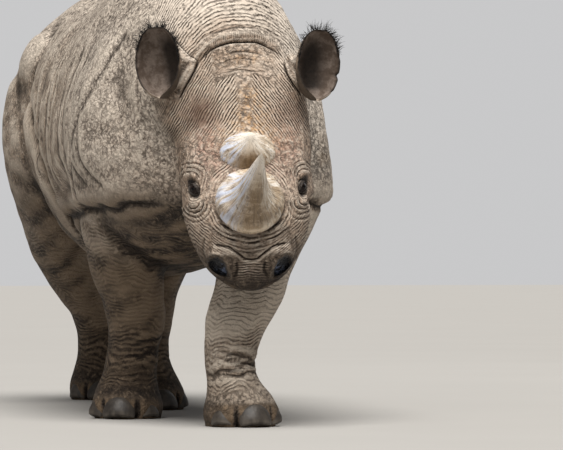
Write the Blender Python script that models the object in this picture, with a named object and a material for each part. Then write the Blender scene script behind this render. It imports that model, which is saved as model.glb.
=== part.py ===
"""Black rhinoceros at life size, walking with its head low.

The flesh is lofted from a few named stations, fused into one body, and then
parted with thin cuts into the pieces that a person would name. Horns, eyes and
toenails are let into the flesh by sockets that follow their shape. The ears
are trimmed to the head and neck, and the tail's tuft hangs under the tail.

Frame: metres, +Z up, nose towards -Y, the animal's left side towards +X.
The origin is on the ground, under the middle of the whole animal's box.
Run with: blender --background --python part.py
"""

import math

import bmesh
import bpy
import numpy as np
from mathutils import Matrix, Vector

# ---------------------------------------------------------------- sizes, metres
WITHERS_HEIGHT = 1.42
BACK_HEIGHT = 1.34
CROUP_HEIGHT = 1.36
BELLY_HEIGHT = 0.42
BRISKET_HEIGHT = 0.46
SHOULDER_HALF = 0.378
BARREL_HALF = 0.392
HIP_HALF = 0.378

HEAD_PITCH = math.radians(67)  # the face's slope below the horizontal
HEAD_YAW = math.radians(-8)  # turned a little to the animal's right
HEAD_ROLL = math.radians(-1.3)
HEAD_TOP = Vector((0.032, -0.45, 1.03))  # on the crown, between the ears
EYE_RADIUS = 0.021
EYE_PLACE = (0.356, 0.143, -0.078)  # along the face, to the side, out of it
EAR_LENGTH = 0.190
EAR_ROOT_OUT = -0.035
EAR_WALL = 0.007
IN_THE_WALL = 0.68  # share of the ear's wall, from outside, where its stalk ends
STALK_FOOT = (0.045, 0.126, -0.070)  # along the face, to the side, out of it
STALK_RISE = 0.080  # up the ear from its root
STALK_BEHIND = 0.026
STALK_INWARD = 0.016
STALK_RADII = (0.030, 0.054, 0.036)  # past each end, up and down, fore and aft

FOOT_HALF = 0.108
FOOT_LENGTH = 0.122
ELBOW_FOLD = 0.62  # height where a foreleg is parted from the shoulder
KNEE_FOLD = 0.68  # height where a hind leg is parted from the rump
SIDE_TOE = math.radians(54)
TOE_HEIGHT = 0.036  # of the middle of each toe
TOE_DEPTH = 0.056
TOE_RISE = 0.052
MIDDLE_TOE = (0.056, 0.068)  # half width, and how far ahead of the foot's middle
OUTER_TOE = (0.044, 0.062)
NAIL_HEIGHT = 0.030
NAIL_LEAN = math.radians(-24)
NAIL_BEND = 0.014  # how far its sides curve back
MIDDLE_NAIL = (0.050, 0.117)  # half width, and how far ahead of the foot's middle
OUTER_NAIL = (0.038, 0.104)

GAP = 0.0004  # between pieces that touch
CUT = 0.0004  # half the width of a parting cut
RING_SIDES = 32
FUSE_VOXEL = 0.015
SOLE_BAND = 0.012  # what lies lower than this is pressed flat on the ground
FLESH_TRIANGLES = 3600

# ---------------------------------------------------------------- colours
HIDE = ("rhino_hide", (0.33, 0.27, 0.22, 1), 0.85)
HORN = ("horn_keratin", (0.50, 0.44, 0.36, 1), 0.55)
NAIL = ("toenail", (0.13, 0.11, 0.10, 1), 0.60)
EYE = ("eye_dark", (0.015, 0.010, 0.008, 1), 0.08)
HAIR = ("tail_bristle", (0.030, 0.028, 0.028, 1), 0.70)


# ---------------------------------------------------------------- tools
def clear_scene():
    for old in list(bpy.data.objects):
        bpy.data.objects.remove(old, do_unlink=True)


def material(finish):
    name, colour, roughness = finish
    made = bpy.data.materials.get(name) or bpy.data.materials.new(name)
    made.use_nodes = True
    shader = made.node_tree.nodes["Principled BSDF"]
    shader.inputs["Base Color"].default_value = colour
    shader.inputs["Roughness"].default_value = roughness
    return made


def add_object(name, mesh, finish=HIDE):
    made = bpy.data.objects.new(name, mesh)
    mesh.name = name
    mesh.materials.clear()
    mesh.materials.append(material(finish))
    bpy.context.scene.collection.objects.link(made)
    return made


def mesh_of(bm):
    bmesh.ops.recalc_face_normals(bm, faces=bm.faces)
    mesh = bpy.data.meshes.new("shape")
    bm.to_mesh(mesh)
    bm.free()
    mesh.shade_smooth()
    return mesh


def evaluated_mesh(obj):
    """The object's mesh with its modifiers applied."""
    graph = bpy.context.evaluated_depsgraph_get()
    return bpy.data.meshes.new_from_object(obj.evaluated_get(graph))


def apply_modifiers(obj):
    made = evaluated_mesh(obj)
    obj.modifiers.clear()
    obj.data = made
    return obj


def smooth_between(rows, steps):
    """Rows of numbers, with a smooth run of steps rows between each two."""
    rows = np.array(rows, float)
    padded = np.vstack([2 * rows[0] - rows[1], rows, 2 * rows[-1] - rows[-2]])
    made = []
    for k in range(len(rows) - 1):
        before, start, end, after = padded[k : k + 4]
        for step in range(steps):
            t = step / steps
            made.append(
                0.5
                * (
                    2 * start
                    + (end - before) * t
                    + (2 * before - 5 * start + 4 * end - after) * t**2
                    + (3 * start - before - 3 * end + after) * t**3
                )
            )
    return made + [rows[-1]]


def section(centre, side, up, half, top, bottom, power_top=2, power_bottom=2, sides=RING_SIDES):
    """A closed egg-shaped ring: half to each side, top above, bottom below."""
    ring = []
    for k in range(sides):
        turn = 2 * math.pi * k / sides
        c, s = math.cos(turn), math.sin(turn)
        power = 2 / (power_top if s >= 0 else power_bottom)
        across = half * math.copysign(abs(c) ** power, c)
        rise = (top if s >= 0 else bottom) * math.copysign(abs(s) ** power, s)
        ring.append(centre + side * across + up * rise)
    return ring


def skin_rings(rings):
    """One closed mesh of triangles through the rings, its ends filled."""
    bm = bmesh.new()
    made = [[bm.verts.new(p) for p in ring] for ring in rings]
    sides = len(made[0])
    for first, second in zip(made, made[1:]):
        for k in range(sides):
            after = (k + 1) % sides
            bm.faces.new((first[k], first[after], second[after], second[k]))
    bm.faces.new(made[0])
    bm.faces.new(made[-1])
    bmesh.ops.triangulate(bm, faces=bm.faces, quad_method="FIXED")
    return mesh_of(bm)


def ball(place, radii, turn=Matrix.Identity(4), subdivisions=3):
    bm = bmesh.new()
    bmesh.ops.create_icosphere(bm, subdivisions=subdivisions, radius=1.0)
    shape = Matrix.Translation(place) @ turn @ Matrix.Diagonal((*radii, 1))
    bmesh.ops.transform(bm, matrix=shape, verts=bm.verts)
    return mesh_of(bm)


def joined(meshes):
    bm = bmesh.new()
    for mesh in meshes:
        bm.from_mesh(mesh)
    return mesh_of(bm)


def swollen(mesh, by):
    """A copy of the mesh that stands proud of it all round."""
    bm = bmesh.new()
    bm.from_mesh(mesh)
    bm.normal_update()
    for vert in bm.verts:
        vert.co += vert.normal * by
    return mesh_of(bm)


def carve(obj, mesh, operation="DIFFERENCE"):
    """Cuts the mesh from the object, or keeps or adds it."""
    cutter = bpy.data.objects.new("cutter", mesh)
    bpy.context.scene.collection.objects.link(cutter)
    cut = obj.modifiers.new("cut", "BOOLEAN")
    cut.operation = operation
    cut.solver = "EXACT"
    cut.object = cutter
    apply_modifiers(obj)
    bpy.data.objects.remove(cutter)
    return obj


# ---------------------------------------------------------------- the head's own frame
def head_matrix():
    """Columns: to the side, along the face, out of the face; origin on the crown."""
    along = Vector((0, -math.cos(HEAD_PITCH), -math.sin(HEAD_PITCH)))
    out = Vector((0, -math.sin(HEAD_PITCH), math.cos(HEAD_PITCH)))
    side = Vector((1, 0, 0))
    axes = Matrix((side, along, out)).transposed()
    turn = Matrix.Rotation(HEAD_YAW, 3, "Z") @ Matrix.Rotation(HEAD_ROLL, 3, "Y")
    return Matrix.Translation(HEAD_TOP) @ (turn @ axes).to_4x4()


HEAD = head_matrix()


def on_head(along, side, out):
    return HEAD @ Vector((side, along, out))


def head_axes():
    side, along, out = HEAD.to_3x3().transposed()
    return side, along, out


# ---------------------------------------------------------------- flesh, by region
def trunk_shape():
    # station: along Y, top, height of the widest place, bottom, half width, squareness above
    stations = (
        (-0.37, 0.98, 0.80, 0.62, 0.12, 2.0),
        (-0.29, 1.09, 0.80, 0.56, 0.24, 1.9),
        (-0.14, 1.29, 0.81, 0.50, SHOULDER_HALF - 0.03, 1.7),
        (0.06, WITHERS_HEIGHT, 0.83, BRISKET_HEIGHT, SHOULDER_HALF, 1.6),
        (0.32, WITHERS_HEIGHT - 0.012, 0.85, BRISKET_HEIGHT - 0.02, SHOULDER_HALF, 1.65),
        (0.65, BACK_HEIGHT, 0.87, BELLY_HEIGHT, BARREL_HALF, 1.8),
        (0.98, BACK_HEIGHT, 0.91, BELLY_HEIGHT + 0.02, BARREL_HALF - 0.016, 1.85),
        (1.12, BACK_HEIGHT + 0.006, 0.93, BELLY_HEIGHT + 0.065, BARREL_HALF - 0.052, 1.75),
        (1.26, CROUP_HEIGHT, 0.95, BELLY_HEIGHT + 0.12, HIP_HALF - 0.024, 1.68),
        (1.48, CROUP_HEIGHT - 0.02, 0.97, 0.62, HIP_HALF - 0.035, 1.8),
        (1.68, 1.245, 0.97, 0.70, 0.275, 2.2),
        (1.80, 1.13, 0.96, 0.78, 0.18, 2.0),
        (1.86, 1.02, 0.95, 0.86, 0.07, 2.0),
    )
    rings = [
        section(
            Vector((0, y, widest)),
            Vector((1, 0, 0)),
            Vector((0, 0, 1)),
            half,
            top - widest,
            widest - bottom,
            power,
            2.05,
        )
        for y, top, widest, bottom, half, power in smooth_between(stations, 4)
    ]
    return skin_rings(rings)


def neck_shape():
    # station: Y and Z of the middle, lean of the ring in degrees, half width, top, bottom
    stations = (
        (0.06, 0.98, 8, 0.30, 0.42, 0.36),
        (-0.12, 0.95, 18, 0.288, 0.355, 0.35),
        (-0.26, 0.91, 30, 0.262, 0.275, 0.29),
        (-0.34, 0.87, 42, 0.206, 0.165, 0.225),
        (-0.40, 0.83, 54, 0.160, 0.10, 0.17),
    )
    rings = []
    for y, z, lean, half, top, bottom in smooth_between(stations, 4):
        tilt = math.radians(lean)
        middle = Vector((0, y, z))
        up = Vector((0, -math.sin(tilt), math.cos(tilt)))
        rings.append(section(middle, Vector((1, 0, 0)), up, half, top, bottom, 1.9))
    return skin_rings(rings)


def head_shape():
    side, _, out = head_axes()
    # station: along the face, top, widest place, bottom, half width
    stations = (
        (-0.06, -0.035, -0.16, -0.27, 0.140),
        (0.00, -0.006, -0.17, -0.315, 0.172),
        (0.08, -0.004, -0.17, -0.345, 0.187),
        (0.19, -0.014, -0.17, -0.340, 0.193),
        (0.28, -0.010, -0.17, -0.315, 0.184),
        (0.36, -0.006, -0.165, -0.290, 0.182),
        (0.43, -0.010, -0.16, -0.268, 0.175),
        (0.49, -0.030, -0.155, -0.255, 0.157),
        (0.54, -0.062, -0.155, -0.244, 0.132),
        (0.58, -0.098, -0.16, -0.232, 0.098),
        (0.612, -0.135, -0.17, -0.212, 0.054),
    )
    rings = [
        section(on_head(a, 0, mid), side, out, half, top - mid, mid - bottom, 2.5, 2.1)
        for a, top, mid, bottom, half in smooth_between(stations, 3)
    ]
    return skin_rings(rings)


def head_swellings():
    """Horn bosses, lips, brows, cheeks, nostrils and ear roots, as soft bulges."""
    turn = HEAD.to_3x3().to_4x4()
    # along, side, out, then radii: side, along, out
    bulges = [
        ((0.415, 0.0, -0.055), (0.104, 0.100, 0.062)),
        ((0.262, 0.0, -0.045), (0.088, 0.075, 0.052)),
        ((0.585, 0.0, -0.160), (0.058, 0.050, 0.050)),
        ((0.540, 0.0, -0.222), (0.070, 0.060, 0.034)),
    ]
    for hand in (1, -1):
        bulges += [
            ((0.292, 0.120 * hand, -0.078), (0.050, 0.062, 0.045)),
            ((0.170, 0.120 * hand, -0.190), (0.068, 0.120, 0.110)),
            ((0.528, 0.068 * hand, -0.112), (0.048, 0.058, 0.050)),
            ((0.012, 0.138 * hand, -0.098), (0.056, 0.052, 0.042)),
        ]
    return [ball(on_head(*place), radii, turn) for place, radii in bulges]


HIP_BONE = (0.234, 1.29, 1.065)  # aside, Y and height of the middle of each hip
HIP_BONE_RADII = (0.118, 0.200, 0.150)


def hip_bones():
    aside, y, z = HIP_BONE
    return [ball((aside * hand, y, z), HIP_BONE_RADII) for hand in (1, -1)]


# Each leg's stations: height, X, Y, half width, half depth, from the body down.
LEGS = {
    "left_foreleg": (
        (0.98, 0.160, 0.00, 0.150, 0.210),
        (0.80, 0.212, -0.02, 0.165, 0.215),
        (0.66, 0.205, -0.08, 0.152, 0.190),
        (0.56, 0.168, -0.14, 0.132, 0.162),
        (0.46, 0.125, -0.195, 0.113, 0.138),
        (0.36, 0.083, -0.240, 0.099, 0.118),
        (0.28, 0.040, -0.272, 0.087, 0.102),
        (0.20, 0.022, -0.298, 0.077, 0.090),
        (0.14, 0.024, -0.318, 0.071, 0.087),
    ),
    "right_foreleg": (
        (0.98, -0.160, 0.04, 0.150, 0.210),
        (0.80, -0.212, 0.10, 0.165, 0.210),
        (0.66, -0.210, 0.155, 0.140, 0.188),
        (0.56, -0.200, 0.190, 0.119, 0.160),
        (0.46, -0.185, 0.225, 0.105, 0.136),
        (0.36, -0.160, 0.258, 0.091, 0.116),
        (0.28, -0.149, 0.275, 0.085, 0.102),
        (0.20, -0.156, 0.285, 0.078, 0.090),
        (0.14, -0.161, 0.290, 0.079, 0.088),
    ),
    "left_hind_leg": (
        (1.05, 0.185, 1.42, 0.165, 0.27),
        (0.88, 0.215, 1.34, 0.160, 0.29),
        (0.72, 0.195, 1.19, 0.145, 0.25),
        (0.58, 0.135, 1.11, 0.122, 0.19),
        (0.46, 0.075, 1.10, 0.102, 0.145),
        (0.36, 0.040, 1.095, 0.088, 0.118),
        (0.27, 0.020, 1.040, 0.078, 0.100),
        (0.20, 0.010, 0.988, 0.072, 0.088),
        (0.14, 0.012, 0.960, 0.073, 0.087),
    ),
    "right_hind_leg": (
        (1.05, -0.185, 1.46, 0.165, 0.27),
        (0.88, -0.220, 1.42, 0.160, 0.29),
        (0.72, -0.210, 1.46, 0.145, 0.245),
        (0.58, -0.176, 1.55, 0.122, 0.185),
        (0.46, -0.135, 1.66, 0.102, 0.145),
        (0.36, -0.078, 1.735, 0.087, 0.118),
        (0.27, -0.018, 1.780, 0.076, 0.098),
        (0.20, -0.003, 1.810, 0.072, 0.088),
        (0.14, 0.000, 1.830, 0.073, 0.087),
    ),
}
# Each foot: X and Y of its middle, and its turn from straight ahead, to the left.
FEET = {
    "left_foreleg": (0.047, -0.330, math.radians(12)),
    "right_foreleg": (-0.168, 0.300, math.radians(-24)),
    "left_hind_leg": (0.020, 0.950, math.radians(10)),
    "right_hind_leg": (0.012, 1.850, math.radians(-8)),
}


def leg_rows(name, steps=3):
    """All of a leg's stations: its own, then the round foot, flat underneath."""
    x, y, _ = FEET[name]
    foot = (
        (0.085, x, y + 0.010, FOOT_HALF - 0.014, FOOT_LENGTH - 0.018),
        (0.040, x, y, FOOT_HALF, FOOT_LENGTH),
        (0.0, x, y, FOOT_HALF - 0.006, FOOT_LENGTH - 0.008),
    )
    return smooth_between(LEGS[name] + foot, steps)


def level_rings(rows, sides=RING_SIDES):
    rings = []
    for z, x, y, wide, deep in rows:
        middle, side, ahead = Vector((x, y, z)), Vector((1, 0, 0)), Vector((0, 1, 0))
        rings.append(section(middle, side, ahead, wide, deep, deep, 2.2, 2.2, sides))
    return skin_rings(rings)


def toe_shapes(name):
    """Three toes that round out the front of a foot."""
    x, y, turn = FEET[name]
    shapes = []
    for spread, size in ((0.0, MIDDLE_TOE), (SIDE_TOE, OUTER_TOE), (-SIDE_TOE, OUTER_TOE)):
        angle = turn + spread
        wide, reach = size
        place = Vector((x + math.sin(angle) * reach, y - math.cos(angle) * reach, TOE_HEIGHT))
        spin = Matrix.Rotation(angle, 4, "Z")
        shapes.append(ball(place, (wide, TOE_DEPTH, TOE_RISE), spin))
    return shapes


TAIL_PATH = (
    # Y, Z, half width, half depth
    (1.70, 1.17, 0.055, 0.055),
    (1.82, 1.12, 0.048, 0.044),
    (1.895, 1.02, 0.036, 0.032),
    (1.922, 0.90, 0.029, 0.024),
    (1.930, 0.78, 0.024, 0.019),
    (1.930, 0.66, 0.020, 0.015),
)
TUFT_PATH = (
    (1.930, 0.658, 0.018, 0.012),
    (1.930, 0.63, 0.028, 0.016),
    (1.932, 0.58, 0.032, 0.017),
    (1.936, 0.53, 0.026, 0.013),
    (1.940, 0.49, 0.012, 0.007),
)


def hanging(path, steps=3, sides=RING_SIDES):
    rings = []
    rows = smooth_between(path, steps)
    for k, (y, z, half, deep) in enumerate(rows):
        before, after = rows[max(k - 1, 0)], rows[min(k + 1, len(rows) - 1)]
        run = Vector((0, after[0] - before[0], after[1] - before[1])).normalized()
        up = Vector((0, run.z, -run.y))
        middle = Vector((0, y, z))
        side = Vector((1, 0, 0))
        rings.append(section(middle, side, up, half, deep, deep, sides=sides))
    return skin_rings(rings)


def flesh():
    """All the lofts fused into one body, smoothed, and thinned to few faces."""
    shapes = [trunk_shape(), neck_shape(), head_shape(), hanging(TAIL_PATH)]
    shapes += head_swellings() + hip_bones()
    for name in LEGS:
        shapes.append(level_rings(leg_rows(name)))
        shapes += toe_shapes(name)
    body = add_object("trunk", joined(shapes))
    fuse = body.modifiers.new("fuse", "REMESH")
    fuse.mode = "VOXEL"
    fuse.voxel_size = FUSE_VOXEL
    settle = body.modifiers.new("settle", "SMOOTH")
    settle.factor = 0.5
    settle.iterations = 5
    apply_modifiers(body)
    level_soles(body.data)
    thin = body.modifiers.new("thin", "DECIMATE")
    thin.use_collapse_triangulate = True
    thin.ratio = FLESH_TRIANGLES / (2 * len(body.data.polygons))
    return apply_modifiers(body)


def level_soles(mesh):
    """Lays the underside of each foot flat on the ground."""
    for vert in mesh.vertices:
        if vert.co.z < SOLE_BAND:
            vert.co.z = 0.0


# ---------------------------------------------------------------- parting the flesh
# Outlines in Y and Z, each drawn round a piece that is parted by them.
HEAD_REGION = (
    (-0.34, 1.35),
    (-0.265, 0.68),
    (-0.275, 0.59),
    (-0.42, 0.37),
    (-0.55, 0.15),
    (-1.10, 0.15),
    (-1.10, 1.35),
)
NECK_REGION = ((0.0, 1.55), (-0.20, 0.40), (-0.80, 0.40), (-0.80, 1.55))
TAIL_REGION = ((1.868, 0.40), (1.868, 1.30), (2.20, 1.30), (2.20, 0.40))


SLACK = 0.024  # how far round a leg its region reaches
LEG_ROOM = ((0.46, SLACK), (0.28, SLACK), (0.10, 2 * SLACK), (-0.05, 2 * SLACK))  # height, room


def prism(outline):
    """The outline as a block that reaches past the body on both sides."""
    reach = 1.5 * BARREL_HALF
    bm = bmesh.new()
    near = [bm.verts.new((-reach, y, z)) for y, z in outline]
    far = [bm.verts.new((reach, y, z)) for y, z in outline]
    bm.faces.new(near)
    bm.faces.new(far)
    for k in range(len(outline)):
        after = (k + 1) % len(outline)
        bm.faces.new((near[k], near[after], far[after], far[k]))
    bmesh.ops.triangulate(bm, faces=bm.faces)
    return mesh_of(bm)


def leg_region(name):
    """Room for the whole leg, up to the fold where it leaves the body."""
    fold = ELBOW_FOLD if "fore" in name else KNEE_FOLD
    rows = np.array(leg_rows(name))[::-1]
    made = []
    for height, room in ((fold, SLACK), *LEG_ROOM):
        row = [np.interp(height, rows[:, 0], column) for column in rows.T]
        made.append([height, row[1], row[2], row[3] + room, row[4] + room])
    return level_rings(made, 12)


def part_off(body, name, region):
    """Makes a new piece of what lies in the region, and takes it from the body."""
    piece = add_object(name, body.data.copy())
    carve(body, swollen(region, 2 * CUT))
    carve(piece, region, "INTERSECT")
    return piece


def part_flesh(body):
    pieces = {}
    for name in LEGS:
        pieces[name] = part_off(body, name, leg_region(name))
    for name, outline in (("head", HEAD_REGION), ("neck", NECK_REGION), ("tail", TAIL_REGION)):
        pieces[name] = part_off(body, name, prism(outline))
    pieces["trunk"] = body
    return pieces


# ---------------------------------------------------------------- horns, eyes, ears, nails
def horn_shape(stations, sides=14):
    """A horn as rings: along, side and out of its middle, half width, half length, tilt."""
    side, along, out = head_axes()
    rings = []
    for a, across, rise, half, deep, tilt in stations:
        turn = math.radians(tilt)
        lean = along * math.cos(turn) + out * math.sin(turn)
        middle = on_head(a, across, rise)
        rings.append(
            [
                middle
                + side * half * math.cos(2 * math.pi * k / sides)
                + lean * deep * math.sin(2 * math.pi * k / sides)
                for k in range(sides)
            ]
        )
    return skin_rings(rings)


FRONT_HORN = (
    # along, side, out, half width, half length, tilt of the ring in degrees
    (0.418, 0.000, -0.050, 0.094, 0.090, 0),
    (0.418, 0.000, -0.018, 0.096, 0.092, 0),
    (0.420, 0.000, 0.016, 0.086, 0.084, 0),
    (0.424, 0.001, 0.052, 0.060, 0.064, 1),
    (0.429, 0.003, 0.098, 0.043, 0.047, 3),
    (0.431, 0.006, 0.150, 0.032, 0.035, 7),
    (0.427, 0.010, 0.200, 0.022, 0.024, 12),
    (0.418, 0.014, 0.243, 0.011, 0.012, 18),
    (0.411, 0.017, 0.264, 0.004, 0.004, 22),
)
REAR_HORN = (
    (0.272, 0.000, -0.055, 0.074, 0.054, 0),
    (0.272, 0.000, -0.015, 0.078, 0.058, 0),
    (0.270, 0.000, 0.014, 0.062, 0.046, 2),
    (0.269, 0.001, 0.036, 0.041, 0.034, 4),
    (0.266, 0.002, 0.053, 0.022, 0.020, 8),
    (0.264, 0.003, 0.064, 0.009, 0.008, 12),
)
# Each ear: how far its root is to the side, which way it points, and which way it opens.
EARS = {
    # the root: along the face and aside; the way the ear stands; the way it opens
    "left_ear": (0.098, 0.199, Vector((0.05, -0.14, 0.95)), Vector((0.22, -0.97, 0.0))),
    "right_ear": (0.080, -0.235, Vector((-0.10, -0.14, 0.95)), Vector((-0.50, -0.87, 0.0))),
}
EAR_STATIONS = (
    # share of the length, radius, half opening angle in degrees, wall, depth share
    (-0.05, 0.014, 176, 0.009, 1.0),
    (0.00, 0.030, 160, 0.012, 1.0),
    (0.08, 0.045, 138, 0.011, 0.95),
    (0.20, 0.055, 119, 0.009, 0.92),
    (0.36, 0.062, 107, 0.008, 0.88),
    (0.55, 0.063, 100, EAR_WALL, 0.84),
    (0.74, 0.056, 94, EAR_WALL, 0.80),
    (0.88, 0.044, 89, EAR_WALL, 0.76),
    (0.96, 0.030, 86, EAR_WALL, 0.76),
    (1.00, 0.018, 84, EAR_WALL, 0.76),
)


def ear_axes(along, aside, stands, opens):
    """The ear's root, then the ways it stands, opens and spreads outwards."""
    stand = stands.normalized()
    opening = (opens - stand * opens.dot(stand)).normalized()
    outwards = stand.cross(opening) * math.copysign(1, aside)
    return on_head(along, aside, EAR_ROOT_OUT), stand, opening, outwards


def ear_shell(shape, arc=7):
    """A cupped ear: each ring is an arc of wall with its opening to the front."""
    root, stand, opening, outwards = ear_axes(*shape)
    rings = []
    for share, radius, wide, wall, depth in EAR_STATIONS:
        middle = root + stand * EAR_LENGTH * share
        ring = []
        for wall_radius, order in ((radius, 1), (radius - wall, -1)):
            for k in range(arc):
                angle = math.radians(wide) * (2 * k / (arc - 1) - 1) * order
                ring.append(
                    middle
                    + outwards * math.sin(angle) * wall_radius
                    - opening * math.cos(angle) * wall_radius * depth
                )
        rings.append(ring)
    return skin_rings(rings)


def ear_stalk(shape):
    """The thick root of the ear, from the side of the crown to the back of the cup."""
    root, stand, opening, outwards = ear_axes(*shape)
    along, side, out = STALK_FOOT
    foot = on_head(along, math.copysign(side, shape[1]), out)
    top = root + stand * STALK_RISE - opening * STALK_BEHIND - outwards * STALK_INWARD
    reach = top - foot
    ahead = reach.cross(stand).normalized()
    turn = Matrix((reach.normalized(), reach.normalized().cross(ahead), ahead)).transposed()
    radii = (reach.length / 2 + STALK_RADII[0], *STALK_RADII[1:])
    stalk = ball((foot + top) / 2, radii, turn.to_4x4(), 2)
    hollow = []
    for share, radius, _, wall, depth in EAR_STATIONS[1:]:
        middle = root + stand * EAR_LENGTH * share
        room = radius - IN_THE_WALL * wall
        hollow.append(section(middle, outwards, -opening, room, room * depth, radius, sides=24))
    trimmed = add_object("stalk", stalk)
    carve(trimmed, skin_rings(hollow))
    mesh = trimmed.data
    bpy.data.objects.remove(trimmed)
    return mesh


def nail_shape(name, spread, sides=10):
    """One toenail: a broad shield, let into the front of its toe."""
    x, y, turn = FEET[name]
    angle = turn + spread
    wide, reach = OUTER_NAIL if spread else MIDDLE_NAIL
    place = Vector((x + math.sin(angle) * reach, y - math.cos(angle) * reach, NAIL_HEIGHT))
    spin = Matrix.Rotation(angle, 4, "Z") @ Matrix.Rotation(NAIL_LEAN, 4, "X")
    side, front, up = spin.to_3x3().transposed()
    # station: height up the nail, half width, how far it stands out, how far back it goes
    stations = (
        (-0.023, wide * 0.90, 0.009, 0.014),
        (-0.008, wide, 0.014, 0.016),
        (0.019, wide * 0.86, 0.013, 0.015),
        (0.037, wide * 0.48, 0.007, 0.009),
    )
    rings = []
    for rise, half, ahead, behind in stations:
        ring = []
        for k in range(sides):
            c, s = math.cos(2 * math.pi * k / sides), math.sin(2 * math.pi * k / sides)
            depth = behind if s > 0 else ahead
            bend = NAIL_BEND * (c * half / wide) ** 2
            ring.append(place + side * half * c + up * rise + front * (depth * s + bend))
        rings.append(ring)
    return skin_rings(rings)


def add_fittings(pieces):
    """Adds what sits on the flesh, and cuts its sockets or fits its foot."""
    head = pieces["head"]
    for name, stations in (("front_horn", FRONT_HORN), ("rear_horn", REAR_HORN)):
        horn = add_object(name, horn_shape(stations), HORN)
        carve(head, swollen(horn.data, GAP))
        pieces[name] = horn
    for name, hand in (("left_eye", 1), ("right_eye", -1)):
        along, side, out = EYE_PLACE
        place = on_head(along, side * hand, out)
        eye = add_object(name, ball(place, (EYE_RADIUS,) * 3, subdivisions=2), EYE)
        carve(head, swollen(eye.data, GAP))
        pieces[name] = eye
    for name, shape in EARS.items():
        ear = add_object(name, ear_shell(shape))
        carve(ear, ear_stalk(shape), "UNION")
        for flesh_name in ("head", "neck"):
            carve(ear, swollen(pieces[flesh_name].data, 2 * GAP))
        pieces[name] = ear
    pieces["tail_tuft"] = add_object("tail_tuft", hanging(TUFT_PATH, 1, 10), HAIR)
    for leg in LEGS:
        for label, spread in (("middle", 0.0), ("left", SIDE_TOE), ("right", -SIDE_TOE)):
            name = leg.replace("foreleg", "fore").replace("hind_leg", "hind")
            name += "_" + label + "_toenail"
            nail = add_object(name, nail_shape(leg, spread), NAIL)
            carve(pieces[leg], swollen(nail.data, GAP))
            pieces[name] = nail


# ---------------------------------------------------------------- main
def settle_on_ground(pieces):
    """Puts the origin on the ground under the middle of the whole animal's box."""
    points = np.array([v.co[:] for p in pieces.values() for v in p.data.vertices])
    low, high = points.min(axis=0), points.max(axis=0)
    shift = Vector(((low[0] + high[0]) / -2, (low[1] + high[1]) / -2, -low[2]))
    for piece in pieces.values():
        piece.data.transform(Matrix.Translation(shift))
    print("moved by", [round(v, 4) for v in shift])


def gather(pieces):
    """Hangs every piece from one empty, so that the animal moves as one."""
    handle = bpy.data.objects.new("rhinoceros", None)
    bpy.context.scene.collection.objects.link(handle)
    for piece in pieces.values():
        piece.parent = handle


def main():
    clear_scene()
    body = flesh()
    pieces = part_flesh(body)
    add_fittings(pieces)
    settle_on_ground(pieces)
    gather(pieces)


main()
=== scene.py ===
import math
import bmesh
import bpy
import numpy as np
from mathutils import Matrix, Vector


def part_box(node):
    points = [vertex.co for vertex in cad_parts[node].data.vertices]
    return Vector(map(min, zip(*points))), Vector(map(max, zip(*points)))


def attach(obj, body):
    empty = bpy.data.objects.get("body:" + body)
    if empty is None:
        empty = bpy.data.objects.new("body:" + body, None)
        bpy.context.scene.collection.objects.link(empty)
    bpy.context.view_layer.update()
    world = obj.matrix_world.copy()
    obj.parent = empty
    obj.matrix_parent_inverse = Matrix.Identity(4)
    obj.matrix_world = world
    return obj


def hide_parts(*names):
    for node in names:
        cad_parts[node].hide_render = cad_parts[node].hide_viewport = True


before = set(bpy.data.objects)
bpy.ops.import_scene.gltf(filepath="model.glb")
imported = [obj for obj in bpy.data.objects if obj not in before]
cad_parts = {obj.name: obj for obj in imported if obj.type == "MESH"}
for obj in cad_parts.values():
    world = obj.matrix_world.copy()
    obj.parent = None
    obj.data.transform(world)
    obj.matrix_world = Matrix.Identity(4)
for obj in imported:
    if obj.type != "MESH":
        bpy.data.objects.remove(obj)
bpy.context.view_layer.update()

print("frame loaded")

# the animal's own sizes, the same as the solids were drawn from, in metres
form = {
    "headPitch": 67, "headYaw": -8, "headRoll": -1.3,
    "headTop": (0.032, -0.45, 1.03),
    "eyePlace": (0.356, 0.143, -0.078), "eyeRadius": 0.021,
    "withers": 1.42, "back": 1.34, "croup": 1.36, "belly": 0.42, "brisket": 0.46,
    "shoulderHalf": 0.378, "barrelHalf": 0.392, "hipHalf": 0.378,
    "footHalf": 0.108, "footLength": 0.122, "sideToe": 54,
    "earLength": 0.190, "voxel": 0.017,
}


# small helpers
def deselectAll():
    if bpy.context.mode != "OBJECT":
        bpy.ops.object.mode_set(mode="OBJECT")
    bpy.ops.object.select_all(action="DESELECT")


def makeActive(obj):
    deselectAll()
    obj.select_set(True)
    bpy.context.view_layer.objects.active = obj


def applyAll(obj):
    makeActive(obj)
    for modifier in list(obj.modifiers):
        bpy.ops.object.modifier_apply(modifier=modifier.name)


def soften(obj):
    modifier = obj.modifiers.new("soften", "SUBSURF")
    modifier.levels = 1
    modifier.render_levels = 1
    applyAll(obj)


def addMesh(name, bm):
    bmesh.ops.recalc_face_normals(bm, faces=bm.faces)
    mesh = bpy.data.meshes.new(name)
    bm.to_mesh(mesh)
    bm.free()
    mesh.shade_smooth()
    obj = bpy.data.objects.new(name, mesh)
    bpy.context.scene.collection.objects.link(obj)
    return obj


def joinAs(name, objs):
    deselectAll()
    for obj in objs:
        obj.select_set(True)
    bpy.context.view_layer.objects.active = objs[0]
    bpy.ops.object.join()
    objs[0].name = name
    return objs[0]


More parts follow.
